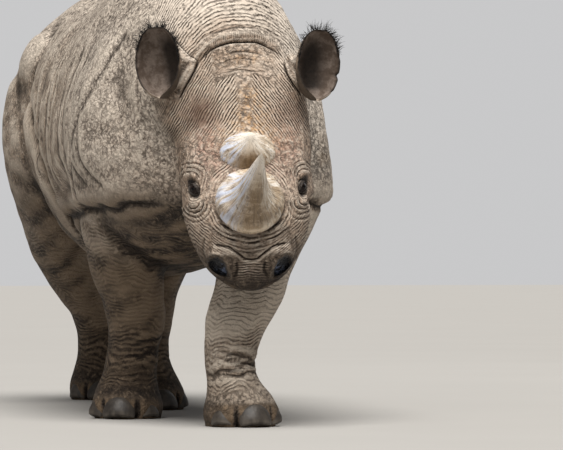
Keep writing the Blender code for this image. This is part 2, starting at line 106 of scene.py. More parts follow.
def smoothRun(rows, steps):
    # rows of numbers with a smooth run of steps between each two
    rows = np.array(rows, float)
    padded = np.vstack([2 * rows[0] - rows[1], rows, 2 * rows[-1] - rows[-2]])
    made = []
    for k in range(len(rows) - 1):
        before, start, end, after = padded[k:k + 4]
        for part in range(steps):
            t = part / steps
            made.append(0.5 * (2 * start + (end - before) * t
                               + (2 * before - 5 * start + 4 * end - after) * t**2
                               + (3 * start - before - 3 * end + after) * t**3))
    return made + [rows[-1]]


def eggRing(middle, side, up, half, top, bottom, powerTop=2, powerBottom=2, sides=32):
    ring = []
    for k in range(sides):
        turn = 2 * math.pi * k / sides
        c, s = math.cos(turn), math.sin(turn)
        power = 2 / (powerTop if s >= 0 else powerBottom)
        across = half * math.copysign(abs(c) ** power, c)
        rise = (top if s >= 0 else bottom) * math.copysign(abs(s) ** power, s)
        ring.append(middle + side * across + up * rise)
    return ring


def loft(name, rings):
    bm = bmesh.new()
    made = [[bm.verts.new(p) for p in ring] for ring in rings]
    sides = len(made[0])
    for first, second in zip(made, made[1:]):
        for k in range(sides):
            after = (k + 1) % sides
            bm.faces.new((first[k], first[after], second[after], second[k]))
    bm.faces.new(made[0])
    bm.faces.new(made[-1])
    return addMesh(name, bm)


def roundLump(place, radii, turn=Matrix.Identity(4)):
    deselectAll()
    bpy.ops.mesh.primitive_ico_sphere_add(subdivisions=3, radius=1)
    lump = bpy.context.object
    lump.data.transform(Matrix.Translation(place) @ turn @ Matrix.Diagonal((*radii, 1)))
    return lump


# the head's own axes: to the side, down the face, out of the face
def headMatrix():
    pitch = math.radians(form["headPitch"])
    axes = Matrix(((1, 0, 0),
                   (0, -math.cos(pitch), -math.sin(pitch)),
                   (0, -math.sin(pitch), math.cos(pitch)))).transposed()
    turn = Matrix.Rotation(math.radians(form["headYaw"]), 3, "Z")
    turn = turn @ Matrix.Rotation(math.radians(form["headRoll"]), 3, "Y")
    return Matrix.Translation(form["headTop"]) @ (turn @ axes).to_4x4()


head = headMatrix()
headSide, _, headOut = head.to_3x3().transposed()


def onHead(along, side, out):
    return head @ Vector((side, along, out))


# the frame's origin is under the whole animal, so everything moves by this at the end
eyeLow, eyeHigh = (Vector(v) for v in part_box("left_eye"))
eyeAlong, eyeSide, eyeOut = form["eyePlace"]
toFrame = (eyeLow + eyeHigh) / 2 - onHead(eyeAlong, eyeSide, eyeOut)
print("shift to the frame", [round(v, 4) for v in toFrame])


def intoFrame(obj):
    obj.data.transform(Matrix.Translation(toFrame))
    return obj


# body lofts

trunkRows = (
    # along Y, top, height of the widest place, bottom, half width, squareness above
    (-0.37, 0.98, 0.80, 0.62, 0.12, 2.0),
    (-0.29, 1.09, 0.80, 0.56, 0.24, 1.9),
    (-0.14, 1.29, 0.81, 0.50, form["shoulderHalf"] - 0.03, 1.7),
    (0.06, form["withers"], 0.83, form["brisket"], form["shoulderHalf"], 1.6),
    (0.32, form["withers"] - 0.012, 0.85, form["brisket"] - 0.02, form["shoulderHalf"], 1.65),
    (0.65, form["back"], 0.87, form["belly"], form["barrelHalf"], 1.8),
    (0.98, form["back"], 0.91, form["belly"] + 0.02, form["barrelHalf"] - 0.016, 1.85),
    (1.12, form["back"] + 0.006, 0.93, form["belly"] + 0.065, form["barrelHalf"] - 0.052, 1.75),
    (1.26, form["croup"], 0.95, form["belly"] + 0.12, form["hipHalf"] - 0.024, 1.68),
    (1.48, form["croup"] - 0.02, 0.97, 0.62, form["hipHalf"] - 0.035, 1.8),
    (1.68, 1.245, 0.97, 0.70, 0.275, 2.2),
    (1.80, 1.13, 0.96, 0.78, 0.18, 2.0),
    (1.86, 1.02, 0.95, 0.86, 0.07, 2.0),
)
neckRows = (
    # Y and Z of the middle, lean in degrees, half width, top, bottom
    (0.06, 0.98, 8, 0.30, 0.42, 0.36),
    (-0.12, 0.95, 18, 0.288, 0.355, 0.35),
    (-0.26, 0.91, 30, 0.262, 0.275, 0.29),
    (-0.34, 0.87, 42, 0.206, 0.165, 0.225),
    (-0.40, 0.83, 54, 0.160, 0.10, 0.17),
)
headRows = (
    # down the face, top, widest place, bottom, half width
    (-0.06, -0.035, -0.16, -0.27, 0.140),
    (0.00, -0.006, -0.17, -0.315, 0.172),
    (0.08, -0.004, -0.17, -0.345, 0.187),
    (0.19, -0.014, -0.17, -0.340, 0.193),
    (0.28, -0.010, -0.17, -0.315, 0.184),
    (0.36, -0.006, -0.165, -0.290, 0.182),
    (0.43, -0.010, -0.16, -0.268, 0.175),
    (0.49, -0.030, -0.155, -0.255, 0.157),
    (0.54, -0.062, -0.155, -0.244, 0.132),
    (0.58, -0.098, -0.16, -0.232, 0.098),
    (0.612, -0.135, -0.17, -0.212, 0.054),
)
legRows = {
    # height, X, Y, half width, half depth
    "left_foreleg": (
        (0.98, 0.160, 0.00, 0.150, 0.210), (0.80, 0.212, -0.02, 0.165, 0.215),
        (0.66, 0.205, -0.08, 0.152, 0.190), (0.56, 0.168, -0.14, 0.132, 0.162),
        (0.46, 0.125, -0.195, 0.113, 0.138), (0.36, 0.083, -0.240, 0.099, 0.118),
        (0.28, 0.040, -0.272, 0.087, 0.102), (0.20, 0.022, -0.298, 0.077, 0.090),
        (0.14, 0.024, -0.318, 0.071, 0.087)),
    "right_foreleg": (
        (0.98, -0.160, 0.04, 0.150, 0.210), (0.80, -0.212, 0.10, 0.165, 0.210),
        (0.66, -0.210, 0.155, 0.140, 0.188), (0.56, -0.200, 0.190, 0.119, 0.160),
        (0.46, -0.185, 0.225, 0.105, 0.136), (0.36, -0.160, 0.258, 0.091, 0.116),
        (0.28, -0.149, 0.275, 0.085, 0.102), (0.20, -0.156, 0.285, 0.078, 0.090),
        (0.14, -0.161, 0.290, 0.079, 0.088)),
    "left_hind_leg": (
        (1.05, 0.185, 1.42, 0.165, 0.27), (0.88, 0.215, 1.34, 0.160, 0.29),
        (0.72, 0.195, 1.19, 0.145, 0.25), (0.58, 0.135, 1.11, 0.122, 0.19),
        (0.46, 0.075, 1.10, 0.102, 0.145), (0.36, 0.040, 1.095, 0.088, 0.118),
        (0.27, 0.020, 1.040, 0.078, 0.100), (0.20, 0.010, 0.988, 0.072, 0.088),
        (0.14, 0.012, 0.960, 0.073, 0.087)),
    "right_hind_leg": (
        (1.05, -0.185, 1.46, 0.165, 0.27), (0.88, -0.220, 1.42, 0.160, 0.29),
        (0.72, -0.210, 1.46, 0.145, 0.245), (0.58, -0.176, 1.55, 0.122, 0.185),
        (0.46, -0.135, 1.66, 0.102, 0.145), (0.36, -0.078, 1.735, 0.087, 0.118),
        (0.27, -0.018, 1.780, 0.076, 0.098), (0.20, -0.003, 1.810, 0.072, 0.088),
        (0.14, 0.000, 1.830, 0.073, 0.087)),
}
feet = {
    # X and Y of the middle, and the turn to the left, in degrees
    "left_foreleg": (0.047, -0.330, 12), "right_foreleg": (-0.168, 0.300, -24),
    "left_hind_leg": (0.020, 0.950, 10), "right_hind_leg": (0.012, 1.850, -8),
}
tailRows = (
    # Y, Z, half width, half depth
    (1.70, 1.17, 0.055, 0.055), (1.82, 1.12, 0.048, 0.044), (1.895, 1.02, 0.036, 0.032),
    (1.922, 0.90, 0.029, 0.024), (1.930, 0.78, 0.024, 0.019), (1.930, 0.66, 0.020, 0.015),
)
xAxis, yAxis, zAxis = Vector((1, 0, 0)), Vector((0, 1, 0)), Vector((0, 0, 1))


def trunkLoft():
    return loft("trunkLoft", [
        eggRing(Vector((0, y, widest)), xAxis, zAxis, half, top - widest, widest - bottom, power, 2.05)
        for y, top, widest, bottom, half, power in smoothRun(trunkRows, 4)])


def neckLoft():
    rings = []
    for y, z, lean, half, top, bottom in smoothRun(neckRows, 4):
        tilt = math.radians(lean)
        up = Vector((0, -math.sin(tilt), math.cos(tilt)))
        rings.append(eggRing(Vector((0, y, z)), xAxis, up, half, top, bottom, 1.9))
    return loft("neckLoft", rings)


def headLoft():
    return loft("headLoft", [
        eggRing(onHead(a, 0, mid), headSide, headOut, half, top - mid, mid - bottom, 2.5, 2.1)
        for a, top, mid, bottom, half in smoothRun(headRows, 3)])


# ears: root down the face and aside, the way they stand, the way they open
ears = {
    "left": (0.098, 0.199, Vector((0.05, -0.14, 0.95)), Vector((0.22, -0.97, 0.0))),
    "right": (0.080, -0.235, Vector((-0.10, -0.14, 0.95)), Vector((-0.50, -0.87, 0.0))),
}
stalk = {"foot": (0.045, 0.126, -0.070), "rise": 0.080, "behind": 0.026, "inward": 0.016,
         "past": 0.030, "tall": 0.054, "deep": 0.036}


def earAxes(ear):
    along, aside, stands, opens = ears[ear]
    stand = stands.normalized()
    opening = (opens - stand * opens.dot(stand)).normalized()
    outwards = stand.cross(opening) * math.copysign(1, aside)
    return onHead(along, aside, -0.035), stand, opening, outwards


earLook = {
    # share of the length, radius, half opening angle, wall, depth
    "rings": ((-0.05, 0.014, 176, 0.009, 1.0), (0.00, 0.030, 160, 0.012, 1.0),
              (0.08, 0.045, 138, 0.011, 0.95), (0.20, 0.055, 119, 0.009, 0.92),
              (0.36, 0.062, 107, 0.008, 0.88), (0.55, 0.063, 100, 0.007, 0.84),
              (0.74, 0.056, 94, 0.007, 0.80), (0.88, 0.044, 89, 0.007, 0.76),
              (0.96, 0.030, 86, 0.007, 0.76), (1.00, 0.018, 84, 0.007, 0.76)),
    "arc": 36, "steps": 6,
    # bites out of the outer rim: share of the length, width, depth in degrees
    "notches": {"left": ((0.33, 0.035, 26), (0.24, 0.020, 9), (0.60, 0.02, 5), (0.09, 0.03, 26)),
                "right": ((0.70, 0.02, 4),)},
}


def earPoint(ear, share, radius, degrees, depth):
    root, stand, opening, outwards = earAxes(ear)
    angle = math.radians(degrees)
    return (root + stand * form["earLength"] * share + outwards * math.sin(angle) * radius
            - opening * math.cos(angle) * radius * depth)


def earStalk(ear):
    root, stand, opening, outwards = earAxes(ear)
    along, side, out = stalk["foot"]
    foot = onHead(along, math.copysign(side, ears[ear][1]), out)
    top = root + stand * stalk["rise"] - opening * stalk["behind"] - outwards * stalk["inward"]
    reach = (top - foot).normalized()
    ahead = reach.cross(stand).normalized()
    turn = Matrix((reach, reach.cross(ahead), ahead)).transposed().to_4x4()
    long = (top - foot).length / 2 + stalk["past"]
    return roundLump((foot + top) / 2, (long, stalk["tall"], stalk["deep"]), turn)


def headLumps():
    turn = head.to_3x3().to_4x4()
    # horn bosses, lips, then brows, cheeks, nostrils and ear roots on both sides
    lumps = [((0.415, 0.0, -0.055), (0.104, 0.100, 0.062)),
             ((0.262, 0.0, -0.045), (0.088, 0.075, 0.052)),
             ((0.585, 0.0, -0.160), (0.058, 0.050, 0.050)),
             ((0.540, 0.0, -0.222), (0.070, 0.060, 0.034))]
    for hand in (1, -1):
        lumps += [((0.292, 0.120 * hand, -0.078), (0.050, 0.062, 0.045)),
                  ((0.170, 0.120 * hand, -0.190), (0.068, 0.120, 0.110)),
                  ((0.528, 0.068 * hand, -0.112), (0.048, 0.058, 0.050)),
                  ((0.012, 0.138 * hand, -0.098), (0.056, 0.052, 0.042))]
    return [roundLump(onHead(*place), radii, turn) for place, radii in lumps]


def hipBones():
    return [roundLump((0.234 * hand, 1.29, 1.065), (0.118, 0.200, 0.150)) for hand in (1, -1)]


def legLoft(name):
    x, y, _ = feet[name]
    half, length = form["footHalf"], form["footLength"]
    foot = ((0.085, x, y + 0.010, half - 0.014, length - 0.018),
            (0.040, x, y, half, length),
            (0.0, x, y, half - 0.006, length - 0.008))
    return loft(name + "Loft", [
        eggRing(Vector((px, py, z)), xAxis, yAxis, wide, deep, deep, 2.2, 2.2)
        for z, px, py, wide, deep in smoothRun(legRows[name] + foot, 3)])


def toeLumps(name):
    x, y, turn = feet[name]
    lumps = []
    for spread, wide, reach in ((0, 0.056, 0.068), (form["sideToe"], 0.044, 0.062),
                                (-form["sideToe"], 0.044, 0.062)):
        angle = math.radians(turn + spread)
        place = Vector((x + math.sin(angle) * reach, y - math.cos(angle) * reach, 0.036))
        lumps.append(roundLump(place, (wide, 0.056, 0.052), Matrix.Rotation(angle, 4, "Z")))
    return lumps


def tailLoft():
    rings = []
    rows = smoothRun(tailRows, 3)
    for k, (y, z, half, deep) in enumerate(rows):
        before, after = rows[max(k - 1, 0)], rows[min(k + 1, len(rows) - 1)]
        run = Vector((0, after[0] - before[0], after[1] - before[1])).normalized()
        rings.append(eggRing(Vector((0, y, z)), xAxis, Vector((0, run.z, -run.y)), half, deep, deep))
    return loft("tailLoft", rings)


def makeSkin():
    parts = [trunkLoft(), neckLoft(), headLoft(), tailLoft(), *headLumps(), *hipBones()]
    parts += [earStalk(ear) for ear in ears]
    for name in legRows:
        parts += [legLoft(name), *toeLumps(name)]
    skin = joinAs("skin", parts)
    fuse = skin.modifiers.new("fuse", "REMESH")
    fuse.mode = "VOXEL"
    fuse.voxel_size = form["voxel"]
    settle = skin.modifiers.new("settle", "SMOOTH")
    settle.factor = 0.5
    settle.iterations = 5
    applyAll(skin)
    return skin


# skin: finer faces where they are needed

def coordsOf(mesh):
    points = np.empty(len(mesh.vertices) * 3, np.float32)
    mesh.vertices.foreach_get("co", points)
    return points.reshape(-1, 3).astype(float)


def setCoords(mesh, points):
    mesh.vertices.foreach_set("co", points.astype(np.float32).ravel())
    mesh.update()


def normalsOf(mesh):
    normals = np.empty(len(mesh.vertices) * 3, np.float32)
    mesh.vertex_normals.foreach_get("vector", normals)
    return normals.reshape(-1, 3).astype(float)


def toHead(points):
    # columns: to the side, height and forwardness as seen from straight in front of the head
    turned = np.array(head.to_3x3()).T @ (points - np.array(form["headTop"])).T
    pitch = math.radians(form["headPitch"])
    side, along, out = turned
    height = -math.sin(pitch) * along + math.cos(pitch) * out
    ahead = math.cos(pitch) * along + math.sin(pitch) * out
    return side, height, ahead, along, out


def legMiddle(leg, z):
    # X and Y of the leg's middle at each height
    heights, placesX, placesY = np.array(legRows[leg])[::-1, :3].T
    return np.interp(z, heights, placesX), np.interp(z, heights, placesY)


def refine(mesh, wanted):
    bm = bmesh.new()
    bm.from_mesh(mesh)
    centres = np.array([face.calc_center_median()[:] for face in bm.faces])
    chosen = wanted(centres)
    edges = {edge for face, keep in zip(bm.faces, chosen) if keep for edge in face.edges}
    bmesh.ops.subdivide_edges(bm, edges=list(edges), cuts=1, use_grid_fill=True, smooth=0)
    bm.to_mesh(mesh)
    bm.free()


def edgesOf(mesh):
    pairs = np.empty(len(mesh.edges) * 2, np.int32)
    mesh.edges.foreach_get("vertices", pairs)
    return pairs.reshape(-1, 2)


def relax(points, pairs, weight, times):
    # moves each point towards the mean of its neighbours, by its own weight
    count = len(points)
    degree = np.bincount(pairs.ravel(), minlength=count)[:, None]
    for _ in range(times):
        total = np.empty_like(points)
        for axis in range(points.shape[1]):
            total[:, axis] = (np.bincount(pairs[:, 0], points[pairs[:, 1], axis], count)
                              + np.bincount(pairs[:, 1], points[pairs[:, 0], axis], count))
        points = points + weight[:, None] * (total / degree - points)
    return points


def isHead(points):
    _, height, ahead, _, _ = toHead(points)
    return (ahead > -0.14) & (height > -0.72) & (height < 0.13) & (points[:, 1] < -0.30) & (
        (points[:, 2] > 0.62) | (points[:, 1] < -0.42))


def nearEyeOrNose(points):
    side, height, ahead, _, _ = toHead(points)
    close = np.zeros(len(points), bool)
    for hand in (1, -1):
        eye = np.array(onHead(eyeAlong, eyeSide * hand, eyeOut))
        nose = np.hypot(side - noseParts["side"] * hand, height - noseParts["height"])
        close |= np.linalg.norm(points - eye, axis=1) < 0.042
        close |= (nose < 0.040) & (ahead > 0.0)
    return close


def isDetailed(points):
    # the head, the feet and the wrists
    return isHead(points) | (points[:, 2] < 0.24)


def isFace(points):
    return isHead(points) & (toHead(points)[2] > -0.075)


noseParts = {"side": 0.088, "height": -0.577, "long": 0.037, "wide": 0.0200, "deep": 0.034}


def softNoise(points, size, seed, waves=14):
    # a smooth random field, about one bump per size
    rng = np.random.default_rng(seed)
    ways = rng.normal(size=(waves, 3))
    ways /= np.linalg.norm(ways, axis=1)[:, None]
    lengths = size * rng.uniform(0.8, 1.8, waves)
    phases = rng.uniform(0, 2 * math.pi, waves)
    field = sum(np.sin(points @ (way * 2 * math.pi / length) + phase)
                for way, length, phase in zip(ways, lengths, phases))
    return field / math.sqrt(waves / 2)


def bell(value, middle, width):
    return np.exp(-((value - middle) / width) ** 2)


def step(value, low, high):
    t = np.clip((value - low) / (high - low), 0, 1)
    return t * t * (3 - 2 * t)


def lineDistance(across, up, line):
    # distance from each point to a line of straight pieces, with its sign
    best = np.full(len(across), 9.0)
    signed = best.copy()
    for (x0, y0), (x1, y1) in zip(line, line[1:]):
        dx, dy = x1 - x0, y1 - y0
        t = np.clip(((across - x0) * dx + (up - y0) * dy) / (dx * dx + dy * dy), 0, 1)
        gapX, gapY = across - (x0 + t * dx), up - (y0 + t * dy)
        distance = np.hypot(gapX, gapY)
        sign = np.sign(dx * gapY - dy * gapX)
        nearer = distance < best
        best = np.where(nearer, distance, best)
        signed = np.where(nearer, distance * sign, signed)
    return best, signed


def crease(distance, width, depth, lip=0.4):
    # a groove with a soft roll on each side of it
    return -depth * np.exp(-(distance / width) ** 2) + lip * depth * bell(distance, 2.2 * width, width)


foldMarks = []


def carve(gap, width, depth, fade, lip=0.4, line=None):
    # the mesh takes the groove, and the material paints shade into its sharp middle from the same gap
    foldMarks.append((gap / (line or width), np.clip(depth / 0.007, 0.45, 1.1) * fade))
    return fade * crease(gap, width, depth, lip)


# sculpting: each form returns how far the skin stands out, in metres

headFolds = {
    # arches over the forehead: height in the middle, drop at the end, half span, power, width, depth
    "arches": ((0.057, 0.057, 0.127, 2.5, 0.0028, 0.0080), (0.099, 0.055, 0.150, 2.2, 0.0045, 0.0035),
               (0.031, 0.013, 0.056, 2.0, 0.0030, 0.0032), (0.010, 0.010, 0.060, 2.0, 0.0030, 0.0018),
               (-0.024, 0.008, 0.070, 2.0, 0.0026, 0.0028)),
    # sagging folds between the front horn and the nostrils
    "sags": ((-0.4835, 0.040, 0.100, 2.0, 0.0042, 0.0100), (-0.4985, 0.034, 0.098, 2.0, 0.0028, 0.0034),
             (-0.5105, 0.046, 0.113, 2.0, 0.0032, 0.0056), (-0.5250, 0.014, 0.066, 2.0, 0.0028, 0.0034),
             (-0.5370, 0.010, 0.050, 2.0, 0.0028, 0.0034)),
    # lines of straight pieces, in side and height, for one hand: over the nostril, jaw, ear stalk
    "lines": ((((0.096, -0.514), (0.084, -0.517), (0.059, -0.523), (0.035, -0.540), (0.018, -0.555),
                (0, -0.558)), 0.0030, 0.0066),
              (((0.128, -0.500), (0.132, -0.530), (0.120, -0.562)), 0.0040, 0.0024),
              (((0.040, -0.568), (0.037, -0.586), (0.044, -0.604)), 0.0050, 0.0042)),
    # each ear's stalk stands out beyond its line, in side and height
    "stalks": (((0.205, 0.085), (0.182, 0.058), (0.167, 0.037), (0.151, 0.019), (0.128, 0.002),
                (0.141, -0.026), (0.159, -0.055), (0.181, -0.096)),
               ((0.175, 0.035), (0.160, 0.023), (0.131, 0.008), (0.114, -0.006), (0.122, -0.037),
                (0.138, -0.066), (0.158, -0.094))),
    "stalkRise": 0.011, "stalkWidth": 0.034,
    # half rings over and under the eye: side, height, radius, depth, 1 for the upper half
    "rings": ((0.158, -0.325, 0.0190, 0.0036, 1), (0.158, -0.323, 0.0290, 0.0034, 1),
              (0.157, -0.321, 0.0410, 0.0022, 1), (0.156, -0.396, 0.0145, 0.0050, -1),
              (0.152, -0.399, 0.0235, 0.0044, -1), (0.150, -0.403, 0.0330, 0.0036, -1),
              (0.149, -0.407, 0.0430, 0.0026, -1)),
    # soft mounds for one hand: side, height, their half sizes, how far out
    "mounds": ((0.078, -0.540, 0.036, 0.015, 0.0090), (0.153, -0.400, 0.014, 0.014, 0.0050),
               (0.158, -0.318, 0.026, 0.016, 0.0070), (0.040, -0.600, 0.016, 0.022, -0.0050)),
}


def stalkPlace(side, height, ahead):
    # how far inside the stalk's edge each point lies, and 1 where there is a stalk at all
    right, left = (lineDistance(np.abs(side), height, line)[1] for line in headFolds["stalks"])
    inward = np.where(side < 0, right, left)
    where = step(height, -0.112, -0.095) * step(0.090 - height, 0, 0.02) * step(ahead, -0.13, -0.10)
    return inward, where * (np.abs(inward) < 0.08)


def headSculpt(points):
    side, height, ahead, along, out = toHead(points)
    front = step(ahead, -0.10, -0.03) * step(height, -0.70, -0.66)
    aside = np.abs(side)
    wobble = 0.003 * softNoise(points, 0.06, 3)
    patchy = np.clip(0.85 + 0.35 * softNoise(points, 0.035, 4), 0.25, 1.2)
    move = np.zeros(len(points))
    for middle, drop, half, power, width, depth in headFolds["arches"]:
        arch = middle - drop * (aside / half) ** power + 0.4 * wobble
        fade = step(half * 1.2 - aside, 0, 0.9 * half)
        move += carve(height - arch, width, depth, fade, 0.25)
    # the thick roll over the nape
    roll = 0.057 - 0.057 * (aside / 0.127) ** 2.5
    move += 0.013 * bell(height - roll, 0.020, 0.014) * step(0.160 - aside, 0, 0.03)
    for middle, rise, half, power, width, depth in headFolds["sags"]:
        sag = middle + rise * (aside / half) ** power + 0.4 * wobble
        fade = step(half * 1.1 - aside, 0, 0.05) * step(ahead, 0.02, 0.06)
        move += carve(height - sag, width, depth, fade * patchy, 0.3)
    for line, width, depth in headFolds["lines"]:
        _, gap = lineDistance(aside + 0.3 * wobble, height + 0.3 * wobble, line)
        move += carve(gap, width, depth, step(ahead, -0.08, -0.05), 0.3)
    for across, up, radius, depth, half in headFolds["rings"]:
        away = np.hypot(aside - across, 1.1 * (height - up)) + 0.6 * wobble
        beyond = step(half * (height - up), -0.45 * radius, 0.25 * radius)
        move += carve(away - radius, 0.0026, depth, beyond * patchy * step(ahead, -0.04, 0.0), 0.4, 0.0020)
    for across, up, wide, tall, far in headFolds["mounds"]:
        mound = np.exp(-((aside - across) / wide) ** 2 - ((height - up) / tall) ** 2)
        move += far * mound * step(ahead, -0.04, 0.0)
    inward, where = stalkPlace(side, height, ahead)
    standing = step(inward, -0.001, 0.006) * step(headFolds["stalkWidth"] - inward, 0, 0.014)
    stalkMove = headFolds["stalkRise"] * standing * where * step(height, -0.10, -0.05)
    lower = 0.45 + 0.55 * step(-height, -0.006, 0.010)
    stalkMove += carve(inward, 0.0030, 0.0058, where * lower, 0.0, 0.0026)
    # rings of wrinkled skin where the front horn grows out
    away = np.hypot(side, along - 0.415)
    move += carve(away - 0.101, 0.0045, 0.0045, step(along, 0.40, 0.47) * step(out, -0.10, -0.06), 0.0)
    # the mouth line runs back along both sides of the jaw
    mouth, _ = lineDistance(along, out, ((0.42, -0.225), (0.50, -0.212), (0.57, -0.195), (0.615, -0.178)))
    move += crease(mouth, 0.006, 0.010, 0.4) * step(aside, 0.02, 0.05)
    return move * np.maximum(front, step(along, 0.40, 0.44)) + stalkMove


def eyeFrame(hand):
    centre = onHead(eyeAlong, eyeSide * hand, eyeOut)
    outward = (headSide * hand * 0.74 - yAxis * 0.66 + zAxis * 0.10).normalized()
    lengthways = -zAxis * 0.66 - headSide * hand * 0.46 - yAxis * 0.60
    lengthways = (lengthways - outward * lengthways.dot(outward)).normalized()
    return centre, outward, lengthways, outward.cross(lengthways)


lids = {"length": 0.0190, "height": 0.0098, "rim": 0.0028, "reach": 0.042}


def openEyes(points):
    for hand in (1, -1):
        centre, outward, lengthways, across = (np.array(v) for v in eyeFrame(hand))
        offset = points - centre
        u, v, w = offset @ lengthways, offset @ across, offset @ outward
        near = (np.hypot(u, v) < lids["reach"]) & (w > -0.02)
        almond = np.sqrt((u / lids["length"]) ** 2 + (v / lids["height"]) ** 2 + 1e-9)
        gap = (almond - 1) * np.sqrt(u**2 + v**2) / np.maximum(almond, 0.2)  # outside the opening
        ball = form["eyeRadius"]
        overBall = np.sqrt(np.maximum((ball + lids["rim"]) ** 2 - u**2 - v**2, 0.0))
        upper = step(-v * np.sign(across @ (np.array(headSide) * hand)), -0.010, 0.006)
        folds = -0.0022 * bell(gap, 0.0060, 0.0016) - 0.0020 * upper * bell(gap, 0.0115, 0.0018)
        folds += (0.0010 * upper - 0.0002) * bell(gap, 0.0022, 0.0026)
        blend = step(gap, 0.005, 0.020)
        lid = np.maximum(overBall, 0.55 * w) * (1 - blend) + w * blend + folds
        inside = 0.35 * ball * np.ones(len(points))
        target = np.where(almond < 1, inside, lid)
        moved = np.where(near, target - w, 0.0) * step(lids["reach"] - np.hypot(u, v), 0, 0.01)
        points = points + moved[:, None] * outward
    return points


def nostrilRing(side, height, hand):
    # 1 on the rim of a slanting teardrop, and less inside it
    across, up = side * hand - noseParts["side"], height - noseParts["height"]
    long = -0.685 * across - 0.729 * up
    wide = 0.729 * across - 0.685 * up
    room = noseParts["wide"] * (1 - 0.30 * np.clip(long / noseParts["long"], -1, 1))
    return np.sqrt((long / noseParts["long"]) ** 2 + (wide / room) ** 2), long, wide


def cutNostrils(points):
    side, height, ahead, _, _ = toHead(points)
    pitch = math.radians(form["headPitch"])
    forward = np.array(head.to_3x3() @ Vector((0, math.cos(pitch), math.sin(pitch))))
    for hand in (1, -1):
        ring, long, wide = nostrilRing(side, height, hand)
        here = step(ahead, 0.0, 0.03) * step(side * hand, 0.0, 0.02)
        hole = -noseParts["deep"] * step(1.04 - ring, 0, 0.45)
        rim = 0.0035 * bell(ring, 1.22, 0.16)
        # a groove runs on from the lower end towards the lip
        groove = -0.007 * bell(wide, 0.004, 0.006) * step(long, 0.020, 0.034) * step(0.058 - long, 0, 0.02)
        points = points + (here * (hole + rim + groove))[:, None] * forward
    return points


bodyFolds = {
    # ribs: where they stand, their spread in Y and depth
    "ribs": (0.75, 0.654, 0.542, 0.456, 0.311, 0.235, 0.140, 0.004),
    "ribWidth": 0.018, "ribDepth": 0.0090,
    # behind the shoulder, in Y and Z, from the withers down to the elbow
    "shoulder": (((-0.134, 1.115), (-0.099, 1.021), (-0.028, 0.917), (0.048, 0.838), (0.105, 0.784),
                  (0.156, 0.709), (0.120, 0.630)), 0.014, 0.0048, 0.0036),
    # where flank meets thigh
    "flank": (((1.20, 1.15), (1.12, 1.06), (0.97, 0.985), (0.86, 0.90), (0.70, 0.806), (0.63, 0.713),
               (0.60, 0.64), (0.60, 0.58)), 0.038, 0.032, 0.0120),
    "hem": 0.621,
    # folds across the front of a wrist: height, slope, middle and half width
    "wrists": {"left_foreleg": ((0.205, -0.30, 0.02, 0.05), (0.186, -0.15, 0.03, 0.05),
                                (0.166, 0.25, -0.02, 0.06), (0.148, 0.10, 0.00, 0.07)),
               "right_foreleg": ((0.222, 0.20, 0.035, 0.045), (0.204, 0.15, 0.035, 0.045),
                                 (0.186, 0.20, 0.03, 0.05))},
}


